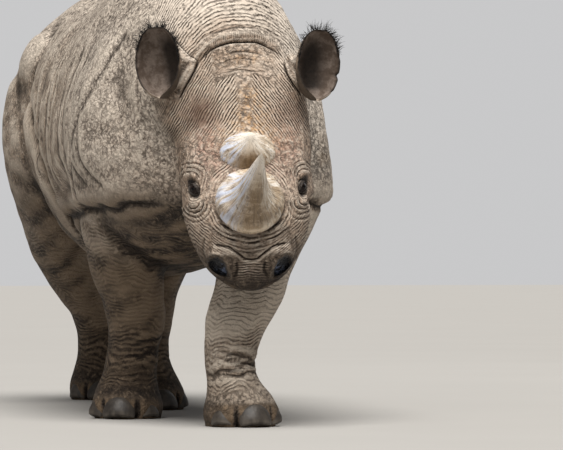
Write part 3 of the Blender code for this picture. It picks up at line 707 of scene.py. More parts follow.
def bodySculpt(points, normals):
    x, y, z = points.T
    move = np.zeros(len(points))
    sideways = step(np.abs(normals[:, 0]), 0.25, 0.6)
    wander = y + 0.014 * softNoise(points, 0.20, 11) + 10 * np.maximum(0.80 - z, 0) ** 2
    where = step(z, 0.64, 0.78) * step(1.16 - z, 0, 0.16) * sideways
    for k, place in enumerate(bodyFolds["ribs"]):
        gap = wander - place
        share = 0.6 + 0.4 * np.sin(9 * z + 2.1 * k)
        move += bodyFolds["ribDepth"] * share * where * 0.6 * bell(gap, -0.026, 0.022)
        move += carve(gap, bodyFolds["ribWidth"], bodyFolds["ribDepth"] * 0.9, share * where, 0.0, 0.0062)
    for line, width, depth, thin in (bodyFolds["shoulder"], bodyFolds["flank"]):
        _, gap = lineDistance(y + 0.004 * softNoise(points, 0.10, 12), z, line)
        fade = sideways * step(np.abs(x), 0.16, 0.24) * np.where(y > 0.4, step(1.10 - z, 0, 0.14), 1)
        move += carve(gap, width, depth, fade, 0.5 if width < 0.02 else 0.12, thin)
    # the shoulder's skin hangs over the top of each foreleg
    for leg, hand in (("left_foreleg", 1), ("right_foreleg", -1)):
        legX, legY = legMiddle(leg, z)
        near = step(0.38 - np.hypot(x - legX, 0.8 * (y - legY)), 0, 0.08) * step(0.02 + x * hand, 0, 0.08)
        edge = z - bodyFolds["hem"] + 0.046 * y + 0.004 * softNoise(points, 0.10, 14)
        move += near * 0.010 * bell(edge, 0.036, 0.032) + carve(edge, 0.012, 0.012, near, 0.2, 0.0046)
    # loose rings of skin at the wrists and above the feet
    for leg in legRows:
        legX, legY = legMiddle(leg, z)
        near = step(0.16 - np.hypot(x - legX, y - legY), 0, 0.03)
        ahead = step(legY - y, -0.02, 0.05)
        slope = z + 0.10 * (x - legX) + 0.008 * softNoise(points, 0.07, 21)
        rings = np.abs(np.sin(math.pi * (slope - 0.145) / 0.020)) ** 0.6 - 0.6
        move += 0.0055 * near * ahead * rings * bell(z, 0.178, 0.028)
    for leg, folds in bodyFolds["wrists"].items():
        legX, legY = legMiddle(leg, z)
        near = step(0.16 - np.hypot(x - legX, y - legY), 0, 0.03) * step(legY - y, -0.02, 0.05)
        for level, slope, middle, half in folds:
            gap = z - level - slope * (x - legX) + 0.004 * softNoise(points, 0.05, 22)
            move += carve(gap, 0.0080, 0.0070, near * bell(x - legX, middle, half), 0.5, 0.0042)
    # clefts between the toes
    for leg, (footX, footY, turn) in feet.items():
        for spread in (-1, 1):
            angle = math.radians(turn + spread * form["sideToe"] * 0.54)
            wayX, wayY = math.sin(angle), -math.cos(angle)
            offX, offY = x - footX, y - footY
            across = offX * wayY - offY * wayX
            outward = offX * wayX + offY * wayY
            low = step(outward, 0.06, 0.10) * step(0.066 - z, 0, 0.03)
            move += carve(across, 0.0075, 0.012, low, 0.0, 0.0045)
    # slow unevenness of heavy flesh
    calm = ~isHead(points)
    move += 0.004 * softNoise(points, 0.28, 31) * calm * step(z, 0.10, 0.3)
    move += 0.0012 * softNoise(points, 0.07, 32) * calm * step(z, 0.05, 0.2)
    return move


lineLook = {"fan": 0.0128, "eye": 0.0062, "cheek": 0.0095, "sag": 0.0074, "level": 0.0074, "nape": 0.0120,
            "roll": 0.0060, "horn": 0.0080, "side": 0.0090, "leg": 0.0130, "wrist": 0.0095, "flank": 0.0190}


def wrinklePhase(points):
    # which way the fine wrinkles run: a count of lines crossed, and how deep they are there
    side, height, ahead, along, out = toHead(points)
    aside = np.abs(side)
    _, y, z = points.T
    face = step(ahead, -0.12, -0.05) * step(-y, 0.33, 0.40) * step(height, -0.72, -0.66)
    fields = []
    fan = height + 1.3 * aside + 1.2 * aside**2
    crown = -0.026 - 0.020 * (aside / 0.062) ** 2
    where = step(aside, 0.010, 0.035) * step(height, -0.250, -0.17) * step(fan - 0.20, 0.03, -0.03)
    where *= np.maximum(step(crown - height, -0.004, 0.010), step(aside, 0.075, 0.11))
    where *= step(0.07 - height, 0, 0.04)
    fields.append((fan / lineLook["fan"], 1.25 * where * face))
    crest = height + 0.020 * (aside / 0.062) ** 2
    where = bell(height, -0.022, 0.022) * step(0.085 - aside, 0, 0.03)
    fields.append((crest / lineLook["fan"], 0.55 * where * face))
    sag = height - 3.8 * side**2
    where = bell(height - 0.7 * side**2, -0.512, 0.030) * step(0.130 - aside, 0, 0.03)
    fields.append((sag / lineLook["sag"], 1.0 * where * face))
    level = height + 1.0 * side**2
    where = bell(height, -0.585, 0.034) * step(0.056 - aside, 0, 0.015)
    fields.append((level / lineLook["level"], 1.35 * where * face))
    cheek = height - 0.95 * aside
    where = bell(height, -0.480, 0.055) * step(aside, 0.095, 0.125)
    fields.append((cheek / lineLook["cheek"], 1.1 * where * face))
    roll = 0.057 - 0.057 * (aside / 0.127) ** 2.5
    where = step(height - roll, 0.040, 0.050) * step(0.26 - aside, 0, 0.05) * step(-y, 0.10, 0.26)
    fields.append(((height - roll * 0.8) / lineLook["nape"], 1.0 * where))
    where = bell(height - roll, 0.018, 0.012) * step(0.12 - aside, 0, 0.02)
    fields.append((side / lineLook["roll"], 0.5 * where * face))
    ring = np.hypot(side, along - 0.415)
    where = bell(ring, 0.116, 0.016) * step(out, -0.14, -0.09)
    fields.append((ring / lineLook["horn"], 0.9 * where * face))
    across = aside + 0.25 * (height + 0.38)
    where = bell(aside, 0.118, 0.016) * bell(height, -0.375, 0.07)
    fields.append((across / lineLook["side"], 0.9 * where * face))
    for hand in (1, -1):
        centre, outward, lengthways, crossways = (np.array(v) for v in eyeFrame(hand))
        offset = points - centre
        away = np.hypot(offset @ lengthways / 1.35, offset @ crossways)
        where = step(0.046 - away, 0, 0.016) * step(away, 0.014, 0.018) * step(offset @ outward, -0.03, -0.01)
        fields.append((away / lineLook["eye"], 0.7 * where * step(-height, 0.372, 0.390)))
    wander = 0.006 * softNoise(points, 0.07, 21)
    belowBody = step(0.60 - z, 0, 0.05) * (1 - face)
    wrist = bell(z, 0.175, 0.040) * (1 - face)
    fields.append(((z + wander) / lineLook["wrist"], wrist))
    fields.append(((z + wander) / lineLook["leg"], 0.75 * belowBody * step(z, 0.08, 0.12)))
    flank = y + 2 * wander + 10 * np.maximum(0.80 - z, 0) ** 2
    where = step(y, 0.05, 0.20) * step(1.05 - y, 0, 0.1) * step(z, 0.58, 0.66) * step(1.10 - z, 0, 0.15)
    fields.append((flank / lineLook["flank"], 0.70 * where))
    phase = np.zeros(len(points))
    depth = np.zeros(len(points))
    second = np.zeros(len(points))
    for lines, where in fields:
        best = where > depth
        second = np.where(best, depth, np.maximum(second, where))
        phase = np.where(best, lines, phase)
        depth = np.where(best, where, depth)
    # the lines fade out where one kind gives way to another
    depth = np.maximum(depth - 0.95 * second, 0) * np.where(second > 0.02, 1.3, 1.0)
    inward, standing = stalkPlace(side, height, ahead)
    return phase, depth * (1 - 0.85 * step(inward, -0.003, 0.004) * standing)


def makeAttribute(mesh, name, values):
    layer = mesh.attributes.new(name, "FLOAT", "POINT")
    layer.data.foreach_set("value", values.astype(np.float32))


def markSkin(mesh, points, pairs):
    # where each tint, crease and line lies, as attributes for the hide material
    side, height, ahead, _, _ = toHead(points)
    x, y, z = points.T
    aside = np.abs(side)
    face = step(ahead, -0.12, -0.04) * step(-y, 0.33, 0.40) * step(height, -0.75, -0.65)
    body = 1 - face
    evenly = np.full(len(points), 0.5)
    marks = {}
    # hollows and crests, from how far each point lies under its neighbours: painted shade goes into the
    # hollows and dust colour onto the crests
    normals = normalsOf(mesh)
    hollow, broad = (np.einsum("ij,ij->i", relax(points, pairs, evenly, times) - points, normals)
                     for times in (3, 14))
    broad *= 1 - 0.75 * bell(y, -0.32, 0.12) * body * step(z, 0.60, 0.66)
    marks["hollow"] = np.clip(hollow / 0.0011, -1, 1)
    marks["broadHollowShade"] = np.clip(broad / 0.0035, -1, 1)
    # the nearest carved crease, whose middle the hide material fills with painted shade
    gap, deep = np.full(len(points), 6.0), np.zeros(len(points))
    for fold, share in foldMarks:
        nearer = np.abs(fold) + 5 * (1 - np.minimum(share, 1)) < np.abs(gap) + 5 * (1 - np.minimum(deep, 1))
        gap, deep = np.where(nearer, fold, gap), np.where(nearer, share, deep)
    marks["foldGap"] = np.clip(gap, -6, 6)
    marks["foldDeep"] = deep
    # tints of the face
    dirt = bell(side, 0.014, 0.036 + 0.05 * step(-height, 0.10, 0.24)) * step(-height, 0.035, 0.11)
    marks["dirt"] = dirt * step(height, -0.280, -0.215) * face
    rust = bell(aside, 0.135, 0.045) * bell(height, -0.165, 0.055)
    marks["rust"] = np.maximum(rust, 0.8 * bell(aside, 0.105, 0.04) * bell(height, -0.265, 0.04)) * face
    temple = bell(aside, 0.125, 0.042) * bell(height, -0.140, 0.046) * face
    marks["temple"] = temple * np.where(side < 0, 1.0, 0.50)
    marks["faceTone"] = face * step(0.10 + height, -0.55, -0.30)
    pinkSkin = bell(height, -0.225, 0.075) * step(aside, 0.05, 0.09) * step(0.17 - aside, 0, 0.04)
    lowPink = 0.7 * bell(height, -0.300, 0.06) * step(0.15 - aside, 0, 0.04)
    marks["pinkSkin"] = np.maximum(pinkSkin, lowPink) * face
    marks["muzzle"] = step(-height, 0.42, 0.54) * face
    marks["lip"] = step(-height, 0.575, 0.615) * face
    marks["napeTint"] = bell(side, 0, 0.06) * bell(height, 0.012, 0.022) * face
    # nostrils filled with painted shade and a painted sheen, the dark lid skin round the eyes widened with
    # painted shade, and painted shade on the skin deep in the ear cups
    inside, sheenPlace, rim = (np.zeros(len(points)) for _ in range(3))
    ragged = 0.10 * softNoise(points, 0.014, 41)
    for hand in (1, -1):
        ring, long, _ = nostrilRing(side, height, hand)
        here = step(side * hand, 0.0, 0.02)
        inside += step(1.12 - ring + ragged, 0, 0.42) * face * here
        sheenPlace += step(long, -0.012, 0.016) * step(0.9 - ring, 0, 0.3) * here
        centre, outward, lengthways, across = (np.array(k) for k in eyeFrame(hand))
        offset = points - centre
        almond = np.hypot(offset @ lengthways / lids["length"], offset @ across / lids["height"])
        # dark lid skin, spread wider as painted shade of the lids
        rim += step(2.20 - almond, 0, 0.50) * step(offset @ outward, -0.01, 0.0)
    table = np.array(earLook["rings"])
    for ear in ears:
        root, stand, opening, outwards = (np.array(v) for v in earAxes(ear))
        offset = points - root
        share = offset @ stand / form["earLength"]
        away = np.hypot(offset @ outwards, offset @ opening)
        room = np.interp(share, table[:, 0], table[:, 1])
        near = (share > -0.06) * step(1.02 - away / room, 0, 0.06)
        # painted shade on the head's skin deep inside each ear cup
        rim += 0.8 * near * step(offset @ opening, -0.040, -0.025)
    marks["nostril"], marks["nostrilSheen"], marks["darkRimAndShade"] = (np.clip(v, 0, 1) for v in (inside, sheenPlace, rim))
    # tones of the body: painted shade low on the body and legs, painted shade along the flank fold and in the
    # groin, a dusty back and a pale shoulder
    leftFore = step(0.10 - y, 0, 0.10) * step(0.64 - z, 0, 0.04) * step(x, -0.08, -0.04)
    low = step(0.63 - z, 0, 0.20) * body
    # painted shade on everything low, except most of the left foreleg, which stands in the light
    marks["lowShade"] = low * (1 - 0.96 * leftFore * (0.70 + 0.30 * step(z, 0.06, 0.16)))
    _, gap = lineDistance(y, z, bodyFolds["flank"][0])
    shade = 0.95 * bell(gap, 0.0, 0.045) * step(1.12 - z, 0, 0.12) * step(y, 0.5, 0.6)
    groin = 0.75 * step(0.72 - z, 0, 0.22) * step(y, 0.15, 0.35) * step(1.1 - y, 0, 0.1)
    marks["shade"] = np.maximum(shade, groin) * body * np.where(x > 0, 0.55, 1.0)
    marks["flankTone"] = step(y, 0.05, 0.25) * step(1.28 - z, 0, 0.35) * body
    marks["backTone"] = step(z, 1.02, 1.30) * body
    hip = np.hypot((y - 1.24) / 0.09, (z - 1.13) / 0.05)
    marks["hipPale"] = np.exp(-hip**2) * step(np.abs(x), 0.2, 0.3)
    feetDark = step(0.115 - z, 0, 0.06) * (1 - leftFore)
    marks["foot"] = np.maximum(feetDark, 1.1 * step(0.078 - z, 0, 0.018))
    scar = 1.5 * bell(side, -0.008, 0.0040) * bell(height, -0.151, 0.0095) * face
    pale = step(0.44 - y, 0, 0.36) * step(z, 0.60, 0.76) * step(1.30 - z, 0, 0.2) * body
    marks["pale"] = np.clip(pale * (1 - 0.30 * step(-y, 0.10, 0.30)) + scar, 0, 1.3)
    neckSide = step(x, 0.12, 0.20) * step(z, 0.66, 0.76) * step(-0.02 - y, 0, 0.08) * body
    # painted light behind the cheek, lifting the shade under the ear
    behindCheek = 0.8 * bell(y, -0.335, 0.06) * bell(z, 0.88, 0.10) * step(-x, 0.12, 0.18) * body
    marks["neckSide"] = np.maximum(neckSide, behindCheek)
    marks["stain"] = bell(y, -0.19, 0.08) * bell(z, 0.775, 0.075) * step(x, 0.24, 0.29)
    # painted shade on what faces down
    calm = relax(normals, pairs, evenly, 12)
    marks["underside"] = step(-calm[:, 2], 0.15, 0.75) * step(z, 0.2, 0.4)
    inward, standing = stalkPlace(side, height, ahead)
    # a painted highlight along the raised edge of each ear stalk
    marks["stalk"] = standing * bell(inward, 0.007, 0.0065)
    marks["stalkFace"] = standing * step(inward, 0.010, 0.020) * step(0.055 - inward, 0, 0.02)
    marks["linePhase"], marks["lineWhere"] = wrinklePhase(points)
    for name, values in marks.items():
        makeAttribute(mesh, name, values)


def clearCups(points):
    # the skin of each ear's stalk stops inside the wall of the ear's cup
    table = np.array(earLook["rings"])
    for ear in ears:
        root, stand, opening, outwards = (np.array(v) for v in earAxes(ear))
        offset = points - root
        share = offset @ stand / form["earLength"]
        radius, wall, depth = (np.interp(share, table[:, 0], table[:, k]) for k in (1, 3, 4))
        across, back = offset @ outwards, -(offset @ opening) / depth
        room = radius - 0.5 * wall
        inside = (share > -0.02) & (share < 1.0) & (np.hypot(across, back) < room) & (back > -0.9 * radius)
        # each point goes out to the wall along a line from the open side, so that neighbours stay together
        start = -0.6 * radius
        away = back - start
        size = np.maximum(across**2 + away**2, 1e-8)
        push = (np.sqrt((start * away) ** 2 + size * (room**2 - start**2)) - start * away) / size
        moved = root + (offset @ stand)[:, None] * stand + (across * push)[:, None] * outwards
        moved = moved - ((start + away * push) * depth)[:, None] * opening
        points = np.where(inside[:, None], moved, points)
    return points


skin = makeSkin()
mesh = skin.data
print("skin fused", len(mesh.polygons))
refine(mesh, isDetailed)
refine(mesh, isFace)
points = coordsOf(mesh)
pairs = edgesOf(mesh)
fineWeight = np.where(isDetailed(points), 0.5, 0.0)
points = relax(points, pairs, fineWeight, 6)
_, y, z = points.T
shoulder = step(z, 0.56, 0.62) * step(0.92 - z, 0, 0.08) * step(0.34 - y, 0, 0.1)
points = relax(points, pairs, 0.5 * shoulder * ~isHead(points), 30)
setCoords(mesh, points)
refine(mesh, nearEyeOrNose)
points = coordsOf(mesh)
pairs = edgesOf(mesh)
points = relax(points, pairs, np.where(nearEyeOrNose(points), 0.5, 0.0), 2)
setCoords(mesh, points)
normals = normalsOf(mesh)
points = points + (headSculpt(points) + bodySculpt(points, normals))[:, None] * normals
points = openEyes(points)
points = cutNostrils(points)
points = clearCups(points)
points[:, 2] = np.where(points[:, 2] < 0.008, 0.0, points[:, 2])
setCoords(mesh, points)
markSkin(mesh, points, pairs)
mesh.shade_smooth()
print("skin sculpted", len(mesh.polygons), "faces")

# shader groups that several materials share

def newGroup(name, sockets, outputs):
    group = bpy.data.node_groups.new(name, "ShaderNodeTree")
    for socketName, kind, value in sockets:
        socket = group.interface.new_socket(socketName, in_out="INPUT", socket_type="NodeSocket" + kind)
        if value is not None:
            socket.default_value = value
    for socketName, kind in outputs:
        group.interface.new_socket(socketName, in_out="OUTPUT", socket_type="NodeSocket" + kind)
    return group, group.nodes.new("NodeGroupInput").outputs, group.nodes.new("NodeGroupOutput").inputs


def addNode(tree, kind, inputs=None, **settings):
    node = tree.nodes.new("ShaderNode" + kind)
    for key, value in settings.items():
        setattr(node, key, value)
    for key, value in (inputs or {}).items():
        socket = node.inputs[key]
        if isinstance(value, bpy.types.NodeSocket):
            tree.links.new(value, socket)
        else:
            socket.default_value = value
    return node


def placeGroup(tree, group, inputs):
    return addNode(tree, "Group", inputs, node_tree=group).outputs


def doMath(tree, operation, first, second):
    return addNode(tree, "Math", {0: first, 1: second}, operation=operation).outputs[0]


def product(tree, value, *others):
    for other in others:
        value = doMath(tree, "MULTIPLY", value, other)
    return value


def total(tree, value, *others):
    for other in others:
        value = doMath(tree, "ADD", value, other)
    return value


def mixColour(tree, factor, first, second):
    return addNode(tree, "Mix", {0: factor, 6: first, 7: second}, data_type="RGBA").outputs[2]


def rangeOf(tree, value, low, high, to0=0.0, to1=1.0):
    return addNode(tree, "MapRange", {0: value, 1: low, 2: high, 3: to0, 4: to1}).outputs[0]


def smoothRange(tree, value, low, high, to0=1.0, to1=0.0):
    return addNode(tree, "MapRange", {0: value, 1: low, 2: high, 3: to0, 4: to1},
                   interpolation_type="SMOOTHSTEP").outputs[0]


def noiseOf(tree, vector, scale, detail, roughness=0.5):
    return addNode(tree, "TexNoise", {"Vector": vector, "Scale": scale, "Detail": detail,
                                      "Roughness": roughness}).outputs


def readAttribute(tree, name):
    return addNode(tree, "Attribute", attribute_name=name).outputs["Fac"]


def tinted(tree, colour, mask, share, tint):
    # the colour moved towards a tint where the mask, or the attribute it names, is high
    if isinstance(mask, str):
        mask = readAttribute(tree, mask)
    return mixColour(tree, product(tree, mask, share), colour, tint)


def pebbleGroup():
    # low rounded grains of uneven size, with wandering cracks and pits between them
    group, given, out = newGroup("pebbledHide", (
        ("Vector", "Vector", None), ("Grain Size", "Float", 90.0), ("Crack Width", "Float", 0.05)),
        (("Height", "Float"), ("Crack", "Float"), ("Tone", "Float")))
    size = given["Grain Size"]
    warp = noiseOf(group, given["Vector"], 45.0, 3.0)
    bent = addNode(group, "VectorMath", {0: warp["Color"], 1: (0.5, 0.5, 0.5)}, operation="SUBTRACT")
    bent = addNode(group, "VectorMath", {0: bent.outputs[0], "Scale": 0.020}, operation="SCALE")
    moved = addNode(group, "VectorMath", {0: given["Vector"], 1: bent.outputs[0]}, operation="ADD").outputs[0]
    cells = addNode(group, "TexVoronoi", {"Vector": moved, "Scale": size}).outputs["Distance"]
    rough = noiseOf(group, moved, product(group, size, 0.6), 5.0, 0.68)[0]
    veins = noiseOf(group, moved, product(group, size, 0.38), 4.0, 0.6)[0]
    near = doMath(group, "ABSOLUTE", doMath(group, "SUBTRACT", veins, 0.5), 0.0)
    crack = smoothRange(group, near, 0.0, given["Crack Width"])
    crack = product(group, crack, rangeOf(group, warp[0], 0.36, 0.58, 0.15, 1.0))
    low = doMath(group, "MAXIMUM", crack, rangeOf(group, cells, 0.42, 0.74, 0.0, 0.8))
    low = doMath(group, "MAXIMUM", low, rangeOf(group, rough, 0.46, 0.36))
    dome = doMath(group, "SUBTRACT", 1.0, cells)
    height = total(group, product(group, dome, 0.45), product(group, rough, 1.1))
    group.links.new(doMath(group, "SUBTRACT", height, product(group, crack, 0.30)), out["Height"])
    group.links.new(low, out["Crack"])
    group.links.new(rough, out["Tone"])
    return group


def wrinkleGroup():
    # lines that follow a phase stored on the mesh, sharp in their furrows and wandering a little
    group, given, out = newGroup("wrinkleLines", (
        ("Vector", "Vector", None), ("Phase", "Float", 0.0), ("Where", "Float", 0.0),
        ("Wander", "Float", 0.9)), (("Height", "Float"), ("Furrow", "Float"), ("Crest", "Float")))
    slow = noiseOf(group, given["Vector"], 17.0, 4.0, 0.6)[0]
    drift = product(group, doMath(group, "SUBTRACT", slow, 0.5), given["Wander"])
    phase = product(group, total(group, given["Phase"], drift), math.pi)
    wave = doMath(group, "ABSOLUTE", doMath(group, "SINE", phase, 0.0), 0.0)
    breaks = noiseOf(group, given["Vector"], 48.0, 3.0)[0]
    depth = product(group, rangeOf(group, breaks, 0.36, 0.56, 0.25, 1.0), given["Where"])
    furrow = product(group, smoothRange(group, wave, 0.10, 0.80), depth)
    group.links.new(doMath(group, "SUBTRACT", 1.0, furrow), out["Height"])
    group.links.new(furrow, out["Furrow"])
    group.links.new(product(group, smoothRange(group, wave, 0.72, 1.0, 0.0, 1.0), depth), out["Crest"])
    return group


def mottleGroup():
    # two tones in soft-edged patches
    group, given, out = newGroup("mottledTone", (
        ("Vector", "Vector", None), ("Colour", "Color", (0.2, 0.2, 0.2, 1)),
        ("Second Colour", "Color", (0.1, 0.1, 0.1, 1)), ("Patch Size", "Float", 6.0),
        ("Softness", "Float", 0.12), ("Amount", "Float", 0.5)), (("Colour", "Color"),))
    noise = noiseOf(group, given["Vector"], given["Patch Size"], 7.0, 0.62)[0]
    low = doMath(group, "SUBTRACT", 0.5, given["Softness"])
    mask = smoothRange(group, noise, low, total(group, 0.5, given["Softness"]), 0.0, given["Amount"])
    group.links.new(mixColour(group, mask, given["Colour"], given["Second Colour"]), out["Colour"])
    return group


def dustGroup():
    # dry dust that lies on what faces up
    group, given, out = newGroup("dustOnTop", (
        ("Vector", "Vector", None), ("Colour", "Color", (0.2, 0.2, 0.2, 1)),
        ("Dust Colour", "Color", (0.4, 0.36, 0.31, 1)), ("Amount", "Float", 0.6)), (("Colour", "Color"),))
    facing = addNode(group, "SeparateXYZ", {0: addNode(group, "NewGeometry").outputs["Normal"]}).outputs[2]
    noise = noiseOf(group, given["Vector"], 11.0, 8.0, 0.66)[0]
    dust = product(group, rangeOf(group, noise, 0.36, 0.64, 0.25, 1.0),
                   smoothRange(group, facing, -0.05, 0.75, 0.0, 1.0), given["Amount"])
    group.links.new(mixColour(group, dust, given["Colour"], given["Dust Colour"]), out["Colour"])
    return group


def fibreGroup():
    # long fine strands along a horn or nail
    group, given, out = newGroup("strandGrain", (
        ("Vector", "Vector", None), ("Fineness", "Float", 60.0)), (("Height", "Float"), ("Streak", "Float")))
    fine = noiseOf(group, given["Vector"], given["Fineness"], 5.0)[0]
    broad = noiseOf(group, given["Vector"], product(group, given["Fineness"], 0.22), 4.0)[0]
    group.links.new(total(group, product(group, fine, 0.6), product(group, broad, 0.4)), out["Height"])
    group.links.new(rangeOf(group, broad, 0.38, 0.62), out["Streak"])
    return group


pebbledHide = pebbleGroup()
wrinkleLines = wrinkleGroup()
mottledTone = mottleGroup()
dustOnTop = dustGroup()
strandGrain = fibreGroup()


def mottle(tree, coords, first, second, size, softness, amount):
    return placeGroup(tree, mottledTone, {
        "Vector": coords, "Colour": first, "Second Colour": second,
        "Patch Size": size, "Softness": softness, "Amount": amount})["Colour"]


def newMaterial(name, roughness, specular=0.5, coatRoughness=None):
    material = bpy.data.materials.new(name)
    material.use_nodes = True
    tree = material.node_tree
    shader = tree.nodes["Principled BSDF"]
    shader.inputs["Roughness"].default_value = roughness
    shader.inputs["Specular IOR Level"].default_value = specular
    if coatRoughness is not None:
        shader.inputs["Coat Roughness"].default_value = coatRoughness
    coords = addNode(tree, "TexCoord").outputs["Object"]
    return material, tree, shader, coords


def feed(tree, shader, colour, height=None, strength=0.5, distance=0.002, roughness=None):
    tree.links.new(colour, shader.inputs["Base Color"])
    if roughness is not None:
        tree.links.new(roughness, shader.inputs["Roughness"])
    if height is not None:
        bump = addNode(tree, "Bump", {"Height": height, "Strength": strength, "Distance": distance})
        tree.links.new(bump.outputs[0], shader.inputs["Normal"])


# the lower, underside and fold tones are painted shade; the nostril tone is painted shade with a painted
# blue-grey sheen; the lid rim tone is dark lid skin and painted shade
hide = {
    "upper": (0.385, 0.300, 0.228, 1), "back": (0.70, 0.595, 0.500, 1), "flank": (0.300, 0.228, 0.166, 1),
    "mottle": (0.165, 0.124, 0.090, 1), "dust": (0.62, 0.540, 0.450, 1), "pale": (0.63, 0.55, 0.468, 1),
    "neckPale": (0.92, 0.815, 0.700, 1), "lower": (0.041, 0.0255, 0.0138, 1),
    "lowDust": (0.218, 0.150, 0.092, 1), "underside": (0.012, 0.007, 0.004, 1),
    "foot": (0.022, 0.016, 0.013, 1), "crack": (0.046, 0.032, 0.023, 1),
    "blackCrack": (0.010, 0.006, 0.004, 1), "fold": (0.026, 0.018, 0.013, 1),
    "face": (0.42, 0.305, 0.225, 1), "pink": (0.40, 0.235, 0.180, 1), "rust": (0.165, 0.090, 0.060, 1),
    "dirt": (0.50, 0.290, 0.130, 1), "speck": (0.035, 0.023, 0.017, 1), "stain": (0.020, 0.017, 0.015, 1),
    "muzzle": (0.150, 0.112, 0.084, 1), "lip": (0.018, 0.011, 0.007, 1), "darkRimAndShade": (0.016, 0.011, 0.009, 1),
    "nostril": (0.010, 0.011, 0.014, 1), "wet": (0.170, 0.200, 0.290, 1),
}
# marks at their own places: how strong, which tint, and the mask that breaks each up
hideMarks = {
    "muzzle": (0.85, "muzzle", "cloudy"), "lip": (0.90, "lip", "cloudy"), "rust": (0.75, "rust", "cloudy"),
    "pinkSkin": (0.75, "pink", "grainy"), "temple": (0.80, "speck", "softly"),
    "dirt": (0.85, "dirt", "grainy"), "napeTint": (0.55, "dirt", "grainy"), "pale": (0.80, "pale", "softly"),
    # the pale neck mark also holds painted light behind the cheek
    "neckSide": (0.80, "neckPale", "softly"), "hipPale": (0.80, "pale", "cloudy"),
    # the stalk mark is a painted highlight along each ear stalk's edge
    "stalk": (0.80, "pale", "cloudy"), "stalkFace": (0.85, "muzzle", "cloudy"),
    "stain": (0.85, "stain", "grainy"), "foot": (0.88, "foot", "softly"),
}
# bites and scars: how many to the metre, how large, and the share of places without one
hideBites = ((48.0, 0.40, 0.64), (90.0, 0.38, 0.66))


